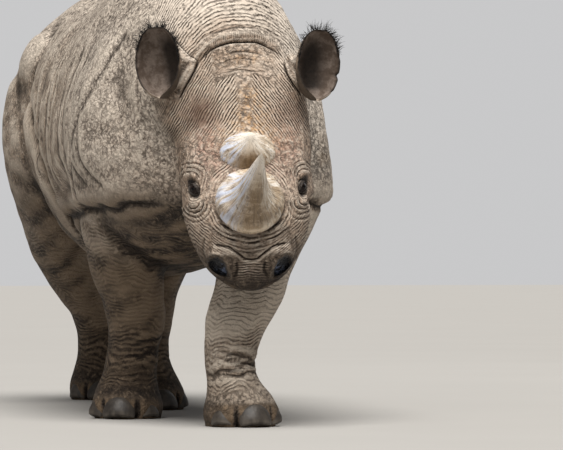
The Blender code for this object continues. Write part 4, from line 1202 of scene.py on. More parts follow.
def hideMaterial():
    material, tree, shader, coords = newMaterial("rhinoHide", 0.72, 0.28)
    lowShade = readAttribute(tree, "lowShade")
    colour = mottle(tree, coords, hide["upper"], hide["mottle"], 7.0, 0.16, 0.32)
    colour = mottle(tree, coords, colour, hide["mottle"], 60.0, 0.12, 0.26)
    low = mottle(tree, coords, hide["lower"], hide["mottle"], 9.0, 0.16, 0.20)
    # region tones, then painted shade low down, on what faces down and along the flank fold
    for name, share, tint in (("flankTone", 0.75, hide["flank"]), ("faceTone", 0.70, hide["face"]),
                              ("backTone", 0.72, hide["back"]), ("lowShade", 0.93, low),
                              ("underside", 0.85, hide["underside"]), ("shade", 0.75, hide["lower"])):
        colour = tinted(tree, colour, name, share, tint)
    # dust and cracks are darker where the hide is dark and where painted shade lies
    dark = lowShade
    for name, share in (("underside", 1.0), ("shade", 1.0), ("foot", 1.0), ("temple", 0.80), ("lip", 0.90),
                        ("stain", 1.0)):
        dark = doMath(tree, "MAXIMUM", dark, product(tree, readAttribute(tree, name), share))
    dust = mixColour(tree, product(tree, dark, 0.90), hide["dust"], hide["lowDust"])
    deepCrack = mixColour(tree, dark, hide["crack"], hide["blackCrack"])
    colour = placeGroup(tree, dustOnTop, {
        "Vector": coords, "Colour": colour, "Dust Colour": dust,
        "Amount": rangeOf(tree, lowShade, 0.0, 0.8, 0.85, 0.10)})["Colour"]
    clouds = noiseOf(tree, coords, 16.0, 8.0, 0.7)[0]
    speckled = noiseOf(tree, coords, 75.0, 5.0, 0.72)[0]
    masks = {"cloudy": rangeOf(tree, clouds, 0.34, 0.60, 0.15, 1.0),
             "grainy": rangeOf(tree, speckled, 0.44, 0.56, 0.10, 1.0),
             "softly": rangeOf(tree, speckled, 0.38, 0.60, 0.55, 1.0)}
    for name, (share, tint, mask) in hideMarks.items():
        broken = product(tree, readAttribute(tree, name), masks[mask])
        colour = tinted(tree, colour, broken, share, hide[tint])
    # fine surface: pebbles, then wrinkles along the stored phase
    where = readAttribute(tree, "lineWhere")
    grain = placeGroup(tree, pebbledHide, {"Vector": coords, "Grain Size": 100.0, "Crack Width": 0.060})
    lines = placeGroup(tree, wrinkleLines, {
        "Vector": coords, "Phase": readAttribute(tree, "linePhase"), "Where": where, "Wander": 2.6})
    plain = rangeOf(tree, where, 0.1, 0.9, 1.15, 0.45)
    height = total(tree, product(tree, grain["Height"], 1.45, plain), product(tree, lines["Height"], 1.15),
                   product(tree, clouds, 1.2))
    # paler worn crests, darker pits and cracks: partly dust and dirt, partly painted highlight and painted
    # shade of the grain's relief
    colour = tinted(tree, colour, rangeOf(tree, grain["Tone"], 0.52, 0.64), 0.55, dust)
    colour = tinted(tree, colour, product(tree, grain["Crack"], 0.75), plain, deepCrack)
    onBack = rangeOf(tree, readAttribute(tree, "backTone"), 0.0, 0.6, 0.15, 0.85)
    for size, reach, share in hideBites:
        bites = addNode(tree, "TexVoronoi", {"Vector": coords, "Scale": size, "Randomness": 1.0}).outputs
        chosen = addNode(tree, "SeparateColor", {0: bites["Color"]}).outputs[0]
        bite = product(tree, rangeOf(tree, bites["Distance"], reach * 0.7, reach, 1.0, 0.0),
                       doMath(tree, "GREATER_THAN", chosen, share), onBack)
        colour = mixColour(tree, bite, colour, hide["speck"])
        height = doMath(tree, "SUBTRACT", height, product(tree, bite, 0.5))
    # dust colour on the wrinkle crests and darker furrows: partly dust and dirt, partly painted highlight and
    # painted shade
    colour = tinted(tree, colour, lines["Crest"], 0.30, dust)
    colour = tinted(tree, colour, lines["Furrow"], 1.0, deepCrack)
    # painted shade down the middle of each carved crease
    uneven = product(tree, doMath(tree, "SUBTRACT", clouds, 0.5), 1.6)
    gap = doMath(tree, "ABSOLUTE", total(tree, readAttribute(tree, "foldGap"), uneven), 0.0)
    fold = product(tree, smoothRange(tree, gap, 0.10, 0.90), readAttribute(tree, "foldDeep"))
    colour = tinted(tree, colour, fold, 0.80, hide["fold"])
    height = doMath(tree, "SUBTRACT", height, fold)
    # painted shade in the hollows, dust colour on the crests
    for name, start, end, share, tint in (
            ("hollow", 0.12, 1.0, 0.60, deepCrack), ("hollow", -0.10, -0.9, 0.45, dust),
            ("broadHollowShade", 0.10, 1.0, 0.60, hide["underside"]), ("broadHollowShade", -0.15, -1.0, 0.25, dust)):
        mask = rangeOf(tree, readAttribute(tree, name), start, end, 0.0, share)
        colour = mixColour(tree, mask, colour, tint)
    # a painted blue-grey sheen over the lower half of each nostril's painted shade
    glint = noiseOf(tree, coords, 85.0, 3.0)[0]
    shiny = product(tree, rangeOf(tree, glint, 0.45, 0.58, 0.0, 0.9), readAttribute(tree, "nostrilSheen"))
    nostrilShadeAndSheen = mixColour(tree, shiny, hide["nostril"], hide["wet"])
    # the dark lip, dark lids with painted shade, painted shade in the nostrils and ear cups, and rust at the
    # temples
    for name, share, tint in (("lip", 0.45, hide["lip"]), ("darkRimAndShade", 0.93, hide["darkRimAndShade"]),
                              ("nostril", 0.97, nostrilShadeAndSheen), ("temple", 0.40, hide["rust"])):
        colour = tinted(tree, colour, name, share, tint)
    wet = product(tree, readAttribute(tree, "darkRimAndShade"), 0.7)
    wet = doMath(tree, "MAXIMUM", readAttribute(tree, "nostril"), wet)
    feed(tree, shader, colour, height, 0.95, 0.0040, rangeOf(tree, wet, 0.0, 1.0, 0.76, 0.26))
    return material


skinMaterial = hideMaterial()
mesh.materials.clear()
mesh.materials.append(skinMaterial)
intoFrame(skin)
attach(skin, "root")
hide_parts("head", "neck", "trunk", "tail", *legRows)
print("hide finished")


# horns: a circle drawn out ring by ring in the head's own axes, then grooved

frontHorn = {
    # down the face, side, out, half width, half length, tilt
    "rings": ((0.418, 0.000, -0.050, 0.094, 0.090, 0), (0.418, 0.000, -0.018, 0.096, 0.092, 0),
              (0.420, 0.000, 0.016, 0.086, 0.084, 0), (0.424, 0.001, 0.052, 0.060, 0.064, 1),
              (0.429, 0.003, 0.098, 0.043, 0.047, 3), (0.431, 0.006, 0.150, 0.032, 0.035, 7),
              (0.427, 0.010, 0.200, 0.022, 0.024, 12), (0.418, 0.014, 0.243, 0.011, 0.012, 18),
              (0.411, 0.017, 0.264, 0.004, 0.004, 22)),
    "sides": 96, "steps": 5, "groove": 0.0007, "fringe": 0.0016, "seed": 5,
    # how many grooves and frayed edges go round
    "ridges": (13, 22, 34, 47), "frays": (5, 9, 17),
}
rearHorn = {
    "rings": ((0.272, 0.000, -0.055, 0.074, 0.054, 0), (0.272, 0.000, -0.015, 0.078, 0.058, 0),
              (0.270, 0.000, 0.014, 0.062, 0.046, 2), (0.269, 0.001, 0.036, 0.041, 0.034, 4),
              (0.266, 0.002, 0.053, 0.022, 0.020, 8), (0.264, 0.003, 0.064, 0.009, 0.008, 12)),
    "sides": 72, "steps": 5, "groove": 0.0009, "fringe": 0.0022, "seed": 9,
    "ridges": (13, 22, 34, 47), "frays": (5, 9, 17),
}


def faceOutwards():
    bpy.ops.object.mode_set(mode="EDIT")
    bpy.ops.mesh.select_all(action="SELECT")
    bpy.ops.mesh.normals_make_consistent(inside=False)
    bpy.ops.object.mode_set(mode="OBJECT")


def drawOut(name, rings, sides):
    # rings of (x, y, z, half width, half depth, tilt): the first is added and the rest extruded from it
    deselectAll()
    x, y, z, half, deep, _ = rings[0]
    bpy.ops.mesh.primitive_circle_add(vertices=sides, radius=1, location=(x, y, z), fill_type="NGON")
    obj = bpy.context.object
    obj.name = name
    bpy.ops.object.mode_set(mode="EDIT")
    bpy.ops.mesh.select_all(action="SELECT")
    bpy.ops.transform.resize(value=(half, deep, 1), center_override=(x, y, z))
    for before, after in zip(rings, rings[1:]):
        place = tuple(after[:3])
        bpy.ops.mesh.extrude_region_move(
            TRANSFORM_OT_translate={"value": tuple(after[k] - before[k] for k in range(3))})
        bpy.ops.transform.resize(value=(after[3] / before[3], after[4] / before[4], 1), center_override=place)
        if after[5] != before[5]:
            bpy.ops.transform.rotate(value=math.radians(after[5] - before[5]), orient_axis="X",
                                     center_override=place)
    faceOutwards()
    bpy.ops.object.transform_apply(location=True, rotation=True, scale=True)
    return obj


def growHorn(name, look):
    rows = smoothRun(look["rings"], look["steps"])
    rings = [(side, along, out, half, deep, tilt) for along, side, out, half, deep, tilt in rows]
    horn = drawOut(name, rings, look["sides"])
    mesh = horn.data
    points = coordsOf(mesh)
    rows = np.array(rows)
    height = np.clip((points[:, 2] - rows[0, 2]) / (rows[-1, 2] - rows[0, 2]), 0, 1)
    axisY, axisX = (np.interp(points[:, 2], rows[:, 2], rows[:, k]) for k in (0, 1))
    outX, outY = points[:, 0] - axisX, points[:, 1] - axisY
    radius = np.hypot(outX, outY)
    around = np.arctan2(outY, outX)
    rng = np.random.default_rng(look["seed"])
    ridges = sum(np.sin(count * around + rng.uniform(0, 6.28) + 2.5 * height) for count in look["ridges"]) / 2
    ragged = sum(np.sin(count * around + rng.uniform(0, 6.28)) for count in look["frays"]) / 2
    worn = bell(points[:, 2], 0.012, 0.018)
    grow = look["groove"] * ridges * (0.35 + worn) * step(radius, 0.002, 0.02)
    grow += look["fringe"] * ragged * worn
    scale = 1 + grow / np.maximum(radius, 0.004)
    points[:, 0] = axisX + outX * scale
    points[:, 1] = axisY + outY * scale
    setCoords(mesh, points)
    strand = mesh.attributes.new("strand", "FLOAT_VECTOR", "POINT")
    folded = np.column_stack((np.cos(around), np.sin(around), height * 0.55)).astype(np.float32)
    strand.data.foreach_set("vector", folded.ravel())
    makeAttribute(mesh, "rise", height)
    makeAttribute(mesh, "flank", np.cos(around))
    makeAttribute(mesh, "front", np.clip(np.sin(around), 0, 1))
    makeAttribute(mesh, "fold", np.clip(-ridges * 0.8, 0, 1) * worn)
    mesh.transform(head)
    makeActive(horn)
    faceOutwards()
    mesh.shade_smooth()
    return intoFrame(horn)


keratin = {
    "base": (0.44, 0.330, 0.220, 1), "bone": (0.72, 0.600, 0.460, 1), "pale": (0.95, 0.90, 0.82, 1),
    "dark": (0.080, 0.053, 0.033, 1), "front": (0.185, 0.124, 0.066, 1), "tip": (0.95, 0.87, 0.76, 1),
    "blueGreySheen": (0.60, 0.66, 0.82, 1),
}


def hornMaterial():
    material, tree, shader, coords = newMaterial("hornKeratin", 0.48, 0.4)
    strand = addNode(tree, "Attribute", attribute_name="strand").outputs["Vector"]
    grain = placeGroup(tree, strandGrain, {"Vector": strand, "Fineness": 26.0})
    rise, sideways = readAttribute(tree, "rise"), readAttribute(tree, "flank")
    colour = mottle(tree, coords, keratin["base"], keratin["bone"], 26.0, 0.10, 0.85)
    # pale broken streaks down both flanks, and a painted blue-grey sheen on the right one
    streaks = addNode(tree, "TexNoise", {"Vector": strand, "Scale": 5.5, "Detail": 7.0, "Roughness": 0.7,
                                         "Distortion": 0.4}).outputs[0]
    onFlank = rangeOf(tree, doMath(tree, "ABSOLUTE", sideways, 0.0), 0.30, 0.75)
    streak = product(tree, onFlank, rangeOf(tree, streaks, 0.46, 0.57))
    colour = tinted(tree, colour, streak, 0.85, keratin["pale"])
    colour = tinted(tree, colour, rangeOf(tree, sideways, -0.25, -0.7),
                    rangeOf(tree, grain["Streak"], 0.35, 0.8, 0.10, 0.80), keratin["blueGreySheen"])
    # the brown front, worn in places, then the polished tip and the dark cracks
    worn = noiseOf(tree, coords, 42.0, 6.0, 0.7)[0]
    front = product(tree, rangeOf(tree, readAttribute(tree, "front"), 0.45, 0.95),
                    rangeOf(tree, worn, 0.36, 0.52, 0.35, 1.0), rangeOf(tree, rise, 0.10, 0.22),
                    rangeOf(tree, rise, 0.95, 0.60, 0.15, 0.90))
    for mask, tint in ((front, "front"), (rangeOf(tree, rise, 0.70, 0.97, 0.0, 0.8), "tip"),
                       (rangeOf(tree, grain["Height"], 0.38, 0.47, 0.60, 0.0), "dark"),
                       (rangeOf(tree, worn, 0.42, 0.34, 0.0, 0.65), "dark")):
        colour = mixColour(tree, mask, colour, keratin[tint])
    colour = tinted(tree, colour, "fold", 0.5, keratin["dark"])
    pits = noiseOf(tree, coords, 120.0, 5.0, 0.7)[0]
    height = total(tree, grain["Height"], product(tree, pits, 0.7), product(tree, worn, 0.8))
    feed(tree, shader, colour, height, 0.85, 0.0030)
    return material


hornSurface = hornMaterial()
for name, node, look in (("hornFront", "front_horn", frontHorn), ("hornRear", "rear_horn", rearHorn)):
    horn = growHorn(name, look)
    horn.data.materials.append(hornSurface)
    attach(horn, "root")
    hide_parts(node)
print("horns grown")


# eyes: a ball with a slightly raised cornea, iris and pupil by angle from its own axis

eyeLook = {
    "iris": 0.0098, "pupil": 0.0050, "bulge": 0.0018, "coat": 0.10,
    "irisTones": ((0.016, 0.008, 0.005, 1), (0.005, 0.003, 0.003, 1)), "pupilTone": (0.002, 0.002, 0.002, 1),
    "whiteTones": ((0.014, 0.009, 0.008, 1), (0.030, 0.021, 0.018, 1)),
}


def makeEye(name, hand):
    centre, outward, _, _ = eyeFrame(hand)
    deselectAll()
    bpy.ops.mesh.primitive_uv_sphere_add(segments=64, ring_count=40, radius=form["eyeRadius"],
                                         location=centre)
    eye = bpy.context.object
    eye.name = name
    bpy.ops.object.transform_apply(location=True, rotation=True, scale=True)
    mesh = eye.data
    offset = coordsOf(mesh) - np.array(centre)
    ahead = np.array(outward * 0.92 + Vector((0, -1, 0)) * 0.30 * 0.92)
    ahead /= np.linalg.norm(ahead)
    along = offset @ ahead
    away = np.linalg.norm(offset - along[:, None] * ahead, axis=1)
    bulge = eyeLook["bulge"] * step(eyeLook["iris"] * 1.15 - away, 0, eyeLook["iris"]) * (along > 0)
    setCoords(mesh, np.array(centre) + offset + bulge[:, None] * ahead)
    makeAttribute(mesh, "fromPupil", np.where(along > 0, away, 0.02))
    mesh.shade_smooth()
    return intoFrame(eye)


def eyeMaterial():
    material, tree, shader, coords = newMaterial("eyeDark", 0.16, 0.12, 0.04)
    shader.inputs["Coat Weight"].default_value = eyeLook["coat"]
    away = readAttribute(tree, "fromPupil")
    spokes = noiseOf(tree, coords, 900.0, 3.0)[0]
    iris = mixColour(tree, spokes, *eyeLook["irisTones"])
    white = mixColour(tree, spokes, *eyeLook["whiteTones"])
    pupil = rangeOf(tree, away, eyeLook["pupil"] * 0.9, eyeLook["pupil"] * 1.1)
    colour = mixColour(tree, pupil, eyeLook["pupilTone"], iris)
    edge = rangeOf(tree, away, eyeLook["iris"] * 0.95, eyeLook["iris"] * 1.08)
    feed(tree, shader, mixColour(tree, edge, colour, white))
    return material


eyeSurface = eyeMaterial()
for name, node, hand in (("eyeballLeft", "left_eye", 1), ("eyeballRight", "right_eye", -1)):
    eye = makeEye(name, hand)
    eye.data.materials.append(eyeSurface)
    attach(eye, "root")
    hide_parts(node)
print("eyes set")


# ears: cupped leaves of hide with ragged dark rims

def makeEar(name, ear):
    rng = np.random.default_rng(17 if ear == "left" else 23)
    bumps = rng.uniform(0, 2 * math.pi, 6)
    rings, marks = [], []
    for share, radius, wide, wall, depth in smoothRun(earLook["rings"], earLook["steps"]):
        ripple = sum(math.sin(share * 2 * math.pi * (2 + k * 1.7) + bumps[k]) for k in range(6)) / 3
        edge = wide * (1 + 0.035 * ripple * min(1, max(0, (share - 0.1) * 3)))
        outer = edge
        for at, width, bite in earLook["notches"][ear]:
            outer -= bite * math.exp(-((share - at) / width) ** 2)
        ring = []
        for wallRadius, order in ((radius, 1), (radius - wall, -1)):
            for k in range(earLook["arc"]):
                turn = (2 * k / (earLook["arc"] - 1) - 1) * order
                # the rim curls outwards a little and is thinner than the root
                curl = 1 + 0.06 * abs(turn) ** 8 * (share > 0.1)
                thin = wallRadius if order == 1 else radius - wall * (1 - 0.70 * abs(turn) ** 5)
                reach = outer if turn > 0 else edge
                ring.append(earPoint(ear, share, thin * curl, reach * turn, depth))
                marks.append((share, turn, 0.0 if order == 1 else 1.0))
        rings.append(ring)
    obj = loft(name, rings)
    mesh = obj.data
    share, turn, inner = np.array(marks).T
    inside = inner * step(share, -0.045, -0.02)
    rim = np.maximum(step(np.abs(turn), 0.90, 0.99) * step(share, 0.02, 0.12), step(share, 0.955, 1.0))
    rim = np.maximum(rim, 0.8 * (1 - inner) * step(-turn, 0.35, 0.65) * step(0.50 - share, 0, 0.2))
    # painted shadow, darkest down the inner side, under the fold of the rim
    hole = bell(turn, -0.04, 0.46) if ear == "left" else step(0.08 + 0.28 * share - turn, -0.06, 0.50)
    shadow = hole * step(share, 0.02, 0.16) * step(1.02 - share, 0, 0.40)
    makeAttribute(mesh, "inside", inside)
    makeAttribute(mesh, "rim", rim)
    makeAttribute(mesh, "cupShadow", inside * shadow)
    soften(obj)
    obj.data.shade_smooth()
    return intoFrame(obj)


# the deep tone is painted shadow
earTones = {
    "cup": (0.190, 0.150, 0.125, 1), "cupDark": (0.085, 0.060, 0.045, 1), "deep": (0.008, 0.006, 0.005, 1),
    "rim": (0.007, 0.006, 0.006, 1),
}


def earMaterial():
    material, tree, shader, coords = newMaterial("earHide", 0.75, 0.25)
    colour = mottle(tree, coords, hide["upper"], hide["mottle"], 12.0, 0.14, 0.7)
    colour = placeGroup(tree, dustOnTop, {
        "Vector": coords, "Colour": colour, "Dust Colour": hide["dust"], "Amount": 0.5})["Colour"]
    cup = mottle(tree, coords, earTones["cup"], earTones["cupDark"], 34.0, 0.10, 0.9)
    colour = mixColour(tree, readAttribute(tree, "inside"), colour, cup)
    # painted shadow deep in the cup
    deep = rangeOf(tree, readAttribute(tree, "cupShadow"), 0.15, 0.85, 0.0, 0.94)
    colour = mixColour(tree, deep, colour, earTones["deep"])
    colour = tinted(tree, colour, "rim", 0.95, earTones["rim"])
    grain = placeGroup(tree, pebbledHide, {"Vector": coords, "Grain Size": 120.0, "Crack Width": 0.16})
    colour = tinted(tree, colour, grain["Crack"], 0.35, hide["crack"])
    feed(tree, shader, colour, grain["Height"], 0.5, 0.0015)
    return material


earSurface = earMaterial()
for name, node, ear in (("earLeft", "left_ear", "left"), ("earRight", "right_ear", "right")):
    piece = makeEar(name, ear)
    piece.data.materials.append(earSurface)
    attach(piece, "root")
    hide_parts(node)
print("ears made")


# toenails: one broad shield, copied to each toe

nail = {
    # height up the nail, half width, out in front, back into the toe
    "rings": ((-0.023, 0.0450, 0.009, 0.014), (-0.008, 0.0500, 0.014, 0.016),
              (0.019, 0.0430, 0.013, 0.015), (0.037, 0.0240, 0.007, 0.009)),
    "middleReach": 0.117, "sideReach": 0.104, "sideWidth": 0.76, "height": 0.030, "lean": -24,
    "wrap": -0.014, "sides": 40,
    "tones": ((0.026, 0.021, 0.017, 1), (0.060, 0.049, 0.039, 1)), "streakTone": (0.03, 0.024, 0.02, 1),
    "wornTone": (0.17, 0.145, 0.118, 1),
}


def modelNail():
    rows = [(0, (front - back) / -2, z, half, (front + back) / 2, 0) for z, half, front, back in
            smoothRun(nail["rings"], 4)]
    shield = drawOut("nailMaster", rows, nail["sides"])
    mesh = shield.data
    points = coordsOf(mesh)
    share = points[:, 0] / nail["rings"][1][1]
    points[:, 1] -= nail["wrap"] * share ** 2
    points[:, 1] += 0.0006 * np.sin(points[:, 0] * 900) * step(-points[:, 1], -0.01, 0.005)
    setCoords(mesh, points)
    makeAttribute(mesh, "worn", step(-points[:, 2], 0.006, 0.022))
    soften(shield)
    return shield


def nailMaterial():
    material, tree, shader, coords = newMaterial("toenailHorn", 0.5, 0.4)
    stretched = addNode(tree, "Mapping", {"Vector": coords, "Scale": (1.0, 1.0, 0.12)}).outputs[0]
    grain = placeGroup(tree, strandGrain, {"Vector": stretched, "Fineness": 260.0})
    colour = mottle(tree, coords, *nail["tones"], 40.0, 0.12, 0.8)
    streaked = rangeOf(tree, grain["Height"], 0.42, 0.52, 0.5, 0.0)
    colour = mixColour(tree, streaked, colour, nail["streakTone"])
    worn = product(tree, readAttribute(tree, "worn"), grain["Streak"])
    colour = tinted(tree, colour, worn, 0.45, nail["wornTone"])
    feed(tree, shader, colour, grain["Height"], 0.7, 0.0015)
    return material


nailMaster = modelNail()
nailSurface = nailMaterial()
nailMaster.data.materials.append(nailSurface)
for leg, (footX, footY, turn) in feet.items():
    for place, spread in (("middle", 0), ("left", form["sideToe"]), ("right", -form["sideToe"])):
        middle = place == "middle"
        angle = math.radians(turn + spread)
        reach = nail["middleReach"] if middle else nail["sideReach"]
        spot = Vector((footX + math.sin(angle) * reach, footY - math.cos(angle) * reach, nail["height"]))
        pose = Matrix.Translation(spot) @ Matrix.Rotation(angle, 4, "Z")
        pose = pose @ Matrix.Rotation(math.radians(nail["lean"]), 4, "X")
        pose = pose @ Matrix.Diagonal((1 if middle else nail["sideWidth"], 1, 1, 1))
        limb = leg.replace("_foreleg", "_fore").replace("_hind_leg", "_hind")
        mesh = nailMaster.data.copy()
        mesh.transform(Matrix.Translation(toFrame) @ pose)
        piece = bpy.data.objects.new(f"nail_{limb}_{place}", mesh)
        bpy.context.scene.collection.objects.link(piece)
        mesh.shade_smooth()
        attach(piece, "root")
        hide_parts(f"{limb}_{place}_toenail")
bpy.data.objects.remove(nailMaster)
print("toenails placed")


# hair: bent tapering strands, each with its own patch on the OFBake map

patch = 0.0026


def growHairs(name, strands, width, steps=5):
    # each strand: root, way, length, bend at the tip, and its place on the map
    rng = np.random.default_rng(len(strands))
    points, faces, places = [], [], []
    for root, way, length, bend, (u, v) in strands:
        first = way.orthogonal().normalized()
        second = way.cross(first).normalized()
        start = len(points)
        thick = width * rng.uniform(0.7, 1.2)
        # all the strand's corners fall inside one small patch at its root's place
        for s in range(steps):
            t = s / steps
            middle = root + way * length * t + bend * t * t
            radius = thick * (1 - 0.75 * t)
            for k in range(3):
                turn = 2 * math.pi * k / 3
                points.append(middle + (first * math.cos(turn) + second * math.sin(turn)) * radius)
                places.append((u + patch * k / 3, v + patch * t))
        tip = len(points)
        points.append(root + way * length + bend)
        places.append((u + patch / 2, v + patch))
        for s in range(steps - 1):
            for k in range(3):
                a, b = start + 3 * s + k, start + 3 * s + (k + 1) % 3
                faces.append((a, b, b + 3, a + 3))
        faces += [(tip - 3 + k, tip - 3 + (k + 1) % 3, tip) for k in range(3)]
        faces.append((start + 2, start + 1, start))
    mesh = bpy.data.meshes.new(name)
    mesh.from_pydata(points, [], faces)
    layer = mesh.uv_layers.new(name="OFBake")
    for loop in mesh.loops:
        layer.data[loop.index].uv = places[loop.vertex_index]
    piece = bpy.data.objects.new(name, mesh)
    bpy.context.scene.collection.objects.link(piece)
    mesh.shade_smooth()
    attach(piece, "root")
    return intoFrame(piece)


def hairMaterial(name, dark, light):
    material, tree, shader, coords = newMaterial(name, 0.55, 0.35)
    tone = rangeOf(tree, noiseOf(tree, coords, 160.0, 3.0)[0], 0.4, 0.65)
    feed(tree, shader, mixColour(tree, tone, dark, light))
    return material


blackHair = hairMaterial("blackBristle", (0.006, 0.006, 0.007, 1), (0.030, 0.027, 0.025, 1))
fringe = {"rim": 190, "tip": 80, "length": (0.015, 0.042), "width": 0.00085}


def earFringe(name, ear, patchAt):
    rng = np.random.default_rng(31 if ear == "left" else 37)
    root, stand, opening, outwards = earAxes(ear)
    table = np.array(earLook["rings"])
    strands = []
    for k in range(fringe["rim"] + fringe["tip"]):
        onTip = k >= fringe["rim"]
        inner = rng.uniform() < 0.55
        share = 0.985 if onTip else rng.uniform(0.50 if inner else 0.66, 0.98)
        radius, wide, wall, depth = (np.interp(share, table[:, 0], table[:, c]) for c in range(1, 5))
        degrees = wide * (rng.uniform(-1, 1) if onTip else (-1 if inner else 1) * rng.uniform(0.93, 0.985))
        base = earPoint(ear, share, radius - 0.3 * wall, degrees, depth)
        away = (base - root - stand * (base - root).dot(stand)).normalized()
        way = stand * (0.9 if onTip else 0.55) + away * 0.7 + opening * rng.uniform(-0.2, 0.5)
        way = (way + Vector(rng.normal(0, 0.22, 3))).normalized()
        length = rng.uniform(*fringe["length"]) * (0.45 + 0.55 * step(share, 0.45, 0.85))
        curl = -away * rng.uniform(0.1, 0.5) * length + outwards * rng.uniform(-0.3, 0.3) * length
        bend = curl + Vector((0, 0, -0.15 * length)) + Vector(rng.normal(0, 0.12 * length, 3))
        place = (patchAt + 0.40 * (0.5 + degrees / 360), 0.05 + 0.85 * share)
        strands.append((base, way, length, bend, place))
    piece = growHairs(name, strands, fringe["width"])
    piece.data.materials.append(blackHair)


earFringe("fringeLeft", "left", 0.02)
earFringe("fringeRight", "right", 0.52)

lash = {"count": 16, "length": (0.008, 0.014), "width": 0.00035}


def lashes(name, hand, patchAt):
    rng = np.random.default_rng(41 + hand)
    centre, outward, lengthways, across = eyeFrame(hand)
    upper = across if across.dot(headSide * hand) < 0 else -across
    far = form["eyeRadius"] + lids["rim"]
    strands = []
    for k in range(lash["count"]):
        turn = math.pi * (0.15 + 0.7 * k / (lash["count"] - 1))
        rim = (lengthways * math.cos(turn) * lids["length"] * 1.12
               + upper * math.sin(turn) * lids["height"] * 1.25)
        base = centre + rim + outward * math.sqrt(far**2 - rim.length_squared) * 0.985
        way = outward * 0.75 + rim.normalized() * 0.6 - zAxis * 0.25 + Vector(rng.normal(0, 0.1, 3))
        length = rng.uniform(*lash["length"])
        bend = Vector((0, 0, 0.002)) + Vector(rng.normal(0, 0.001, 3))
        strands.append((base, way.normalized(), length, bend, (patchAt + 0.02 * k, 0.94)))
    piece = growHairs(name, strands, lash["width"])
    piece.data.materials.append(blackHair)


lashes("lashesLeft", 1, 0.05)
lashes("lashesRight", -1, 0.55)

tuft = {
    # Y, Z, half width, half depth of the brush that the strands fill
    "rows": ((1.930, 0.658, 0.018, 0.012), (1.930, 0.63, 0.028, 0.016), (1.932, 0.58, 0.032, 0.017),
             (1.936, 0.53, 0.026, 0.013), (1.940, 0.49, 0.012, 0.007)),
    "strands": 620, "width": 0.0009,
    # where the strands start: Y, lowest Z, half width and half depth, and how far up the tail some begin
    "root": (1.930, 0.665, 0.020, 0.015), "climb": 0.10, "tips": (0.492, 0.60), "bulge": 0.012,
}


def tailBrush():
    rng = np.random.default_rng(53)
    rows = np.array(tuft["rows"])[::-1]
    rootY, rootZ, half, deep = tuft["root"]
    strands = []
    for _ in range(tuft["strands"]):
        turn = rng.uniform(0, 2 * math.pi)
        rise = tuft["climb"] * rng.uniform(0, 1) ** 2 * (abs(math.cos(turn)) > 0.6)
        spread = rng.uniform(0.2, 1.0) if rootZ + rise < 0.68 else 0.96
        base = Vector((math.cos(turn) * half * spread, rootY + math.sin(turn) * deep * spread, rootZ + rise))
        low = rng.uniform(*tuft["tips"])
        y, wide, thick = (np.interp(low, rows[:, 1], rows[:, k]) for k in (0, 2, 3))
        end = Vector((math.cos(turn) * wide * rng.uniform(0.2, 0.9), y + math.sin(turn) * thick * 0.8, low))
        run = end - base
        way = (run + Vector((math.cos(turn), 0.6 * math.sin(turn), 0)) * tuft["bulge"]).normalized()
        place = (0.02 + 0.95 * turn / (2 * math.pi), 0.05 + 9.0 * rise)
        strands.append((base, way, run.length, run - way * run.length, place))
    piece = growHairs("tailBrush", strands, tuft["width"], 6)
    piece.data.materials.append(blackHair)
    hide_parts("tail_tuft")


tailBrush()
print("hair grown")


# floor, light and camera

studio = {
    "floor": (0.36, 0.348, 0.33, 1), "floorSize": 90, "world": (0.88, 0.88, 0.89, 1),
    "worldLight": 0.19, "worldSeen": 0.66, "sun": 5.4, "sunWidth": 38, "key": 60, "fill": 15,
    "camera": {"turn": -11.5, "distance": 11.5, "aim": -0.60, "height": 0.5, "rise": 0.346, "side": -0.533,
               "lens": 264.7},
}


def makeFloor():
    deselectAll()
    bpy.ops.mesh.primitive_plane_add(size=studio["floorSize"], location=(0, 0, -0.0005))
    floor = bpy.context.object
    floor.name = "floor"
    bpy.ops.object.transform_apply(location=True, rotation=True, scale=True)
    material, tree, shader, coords = newMaterial("paleFloor", 0.85, 0.2)
    light = tuple(v * 1.06 for v in studio["floor"][:3]) + (1,)
    feed(tree, shader, mixColour(tree, noiseOf(tree, coords, 1.5, 4.0)[0], studio["floor"], light))
    floor.data.materials.append(material)


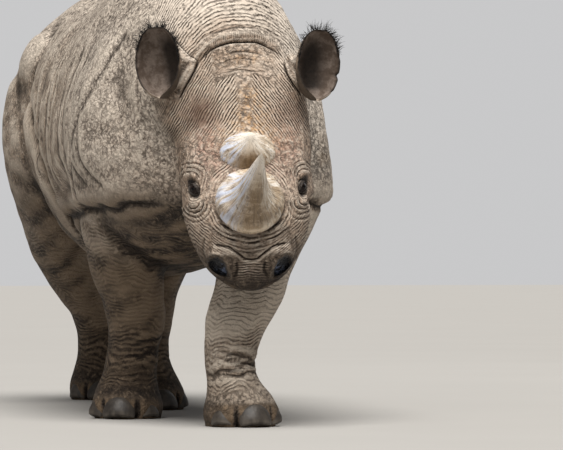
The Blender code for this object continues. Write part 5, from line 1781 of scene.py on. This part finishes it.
def addLamp(name, kind, place, way, energy, colour):
    data = bpy.data.lights.new(name, kind)
    data.energy = energy
    data.color = colour
    lamp = bpy.data.objects.new(name, data)
    lamp.location = place
    lamp.rotation_euler = way.to_track_quat("-Z", "Y").to_euler()
    bpy.context.scene.collection.objects.link(lamp)
    return data


def areaLight(name, place, target, size, watts, colour=(1, 1, 1)):
    data = addLamp(name, "AREA", place, Vector(target) - Vector(place), watts, colour)
    data.shape = "DISK"
    data.size = size


def softSun(name, way, strength, width):
    data = addLamp(name, "SUN", Vector(way) * 4, -Vector(way), strength, (1.0, 0.98, 0.95))
    data.angle = math.radians(width)


def makeCamera():
    look = studio["camera"]
    turn = math.radians(look["turn"])
    back = Vector((math.sin(turn), -math.cos(turn), 0))
    aim = Vector((0, look["aim"] + toFrame.y, 0))
    place = aim + back * look["distance"]
    place.z = look["height"]
    way = Matrix.Rotation(math.radians(look["side"]), 3, "Z") @ -back
    way = Vector((way.x, way.y, math.tan(math.radians(look["rise"])) * way.length)).normalized()
    data = bpy.data.cameras.new("camera")
    data.lens = look["lens"]
    data.sensor_width = 36
    camera = bpy.data.objects.new("camera", data)
    camera.location = place
    camera.rotation_euler = way.to_track_quat("-Z", "Y").to_euler()
    bpy.context.scene.collection.objects.link(camera)
    bpy.context.scene.camera = camera


makeFloor()
softSun("overhead", (-0.10, -0.50, 1.0), studio["sun"], studio["sunWidth"])
areaLight("key", (-3.6, -5.6, 4.6), (0, -0.9, 0.9), 2.6, studio["key"], (1.0, 0.97, 0.93))
areaLight("fill", (4.5, 3.5, 3.0), (0, 0.2, 0.8), 3.0, studio["fill"])
world = bpy.data.worlds.new("studioWorld")
world.use_nodes = True
sky = world.node_tree
lit = sky.nodes["Background"]
lit.inputs["Color"].default_value = studio["world"]
lit.inputs["Strength"].default_value = studio["worldLight"]
seen = addNode(sky, "Background", {"Color": studio["world"], "Strength": studio["worldSeen"]})
ray = addNode(sky, "LightPath")
both = addNode(sky, "MixShader", {0: ray.outputs["Is Camera Ray"], 1: lit.outputs[0], 2: seen.outputs[0]})
sky.links.new(both.outputs[0], sky.nodes["World Output"].inputs["Surface"])
bpy.context.scene.world = world
bpy.context.scene.view_settings.view_transform = "Standard"
makeCamera()
print("studio ready")
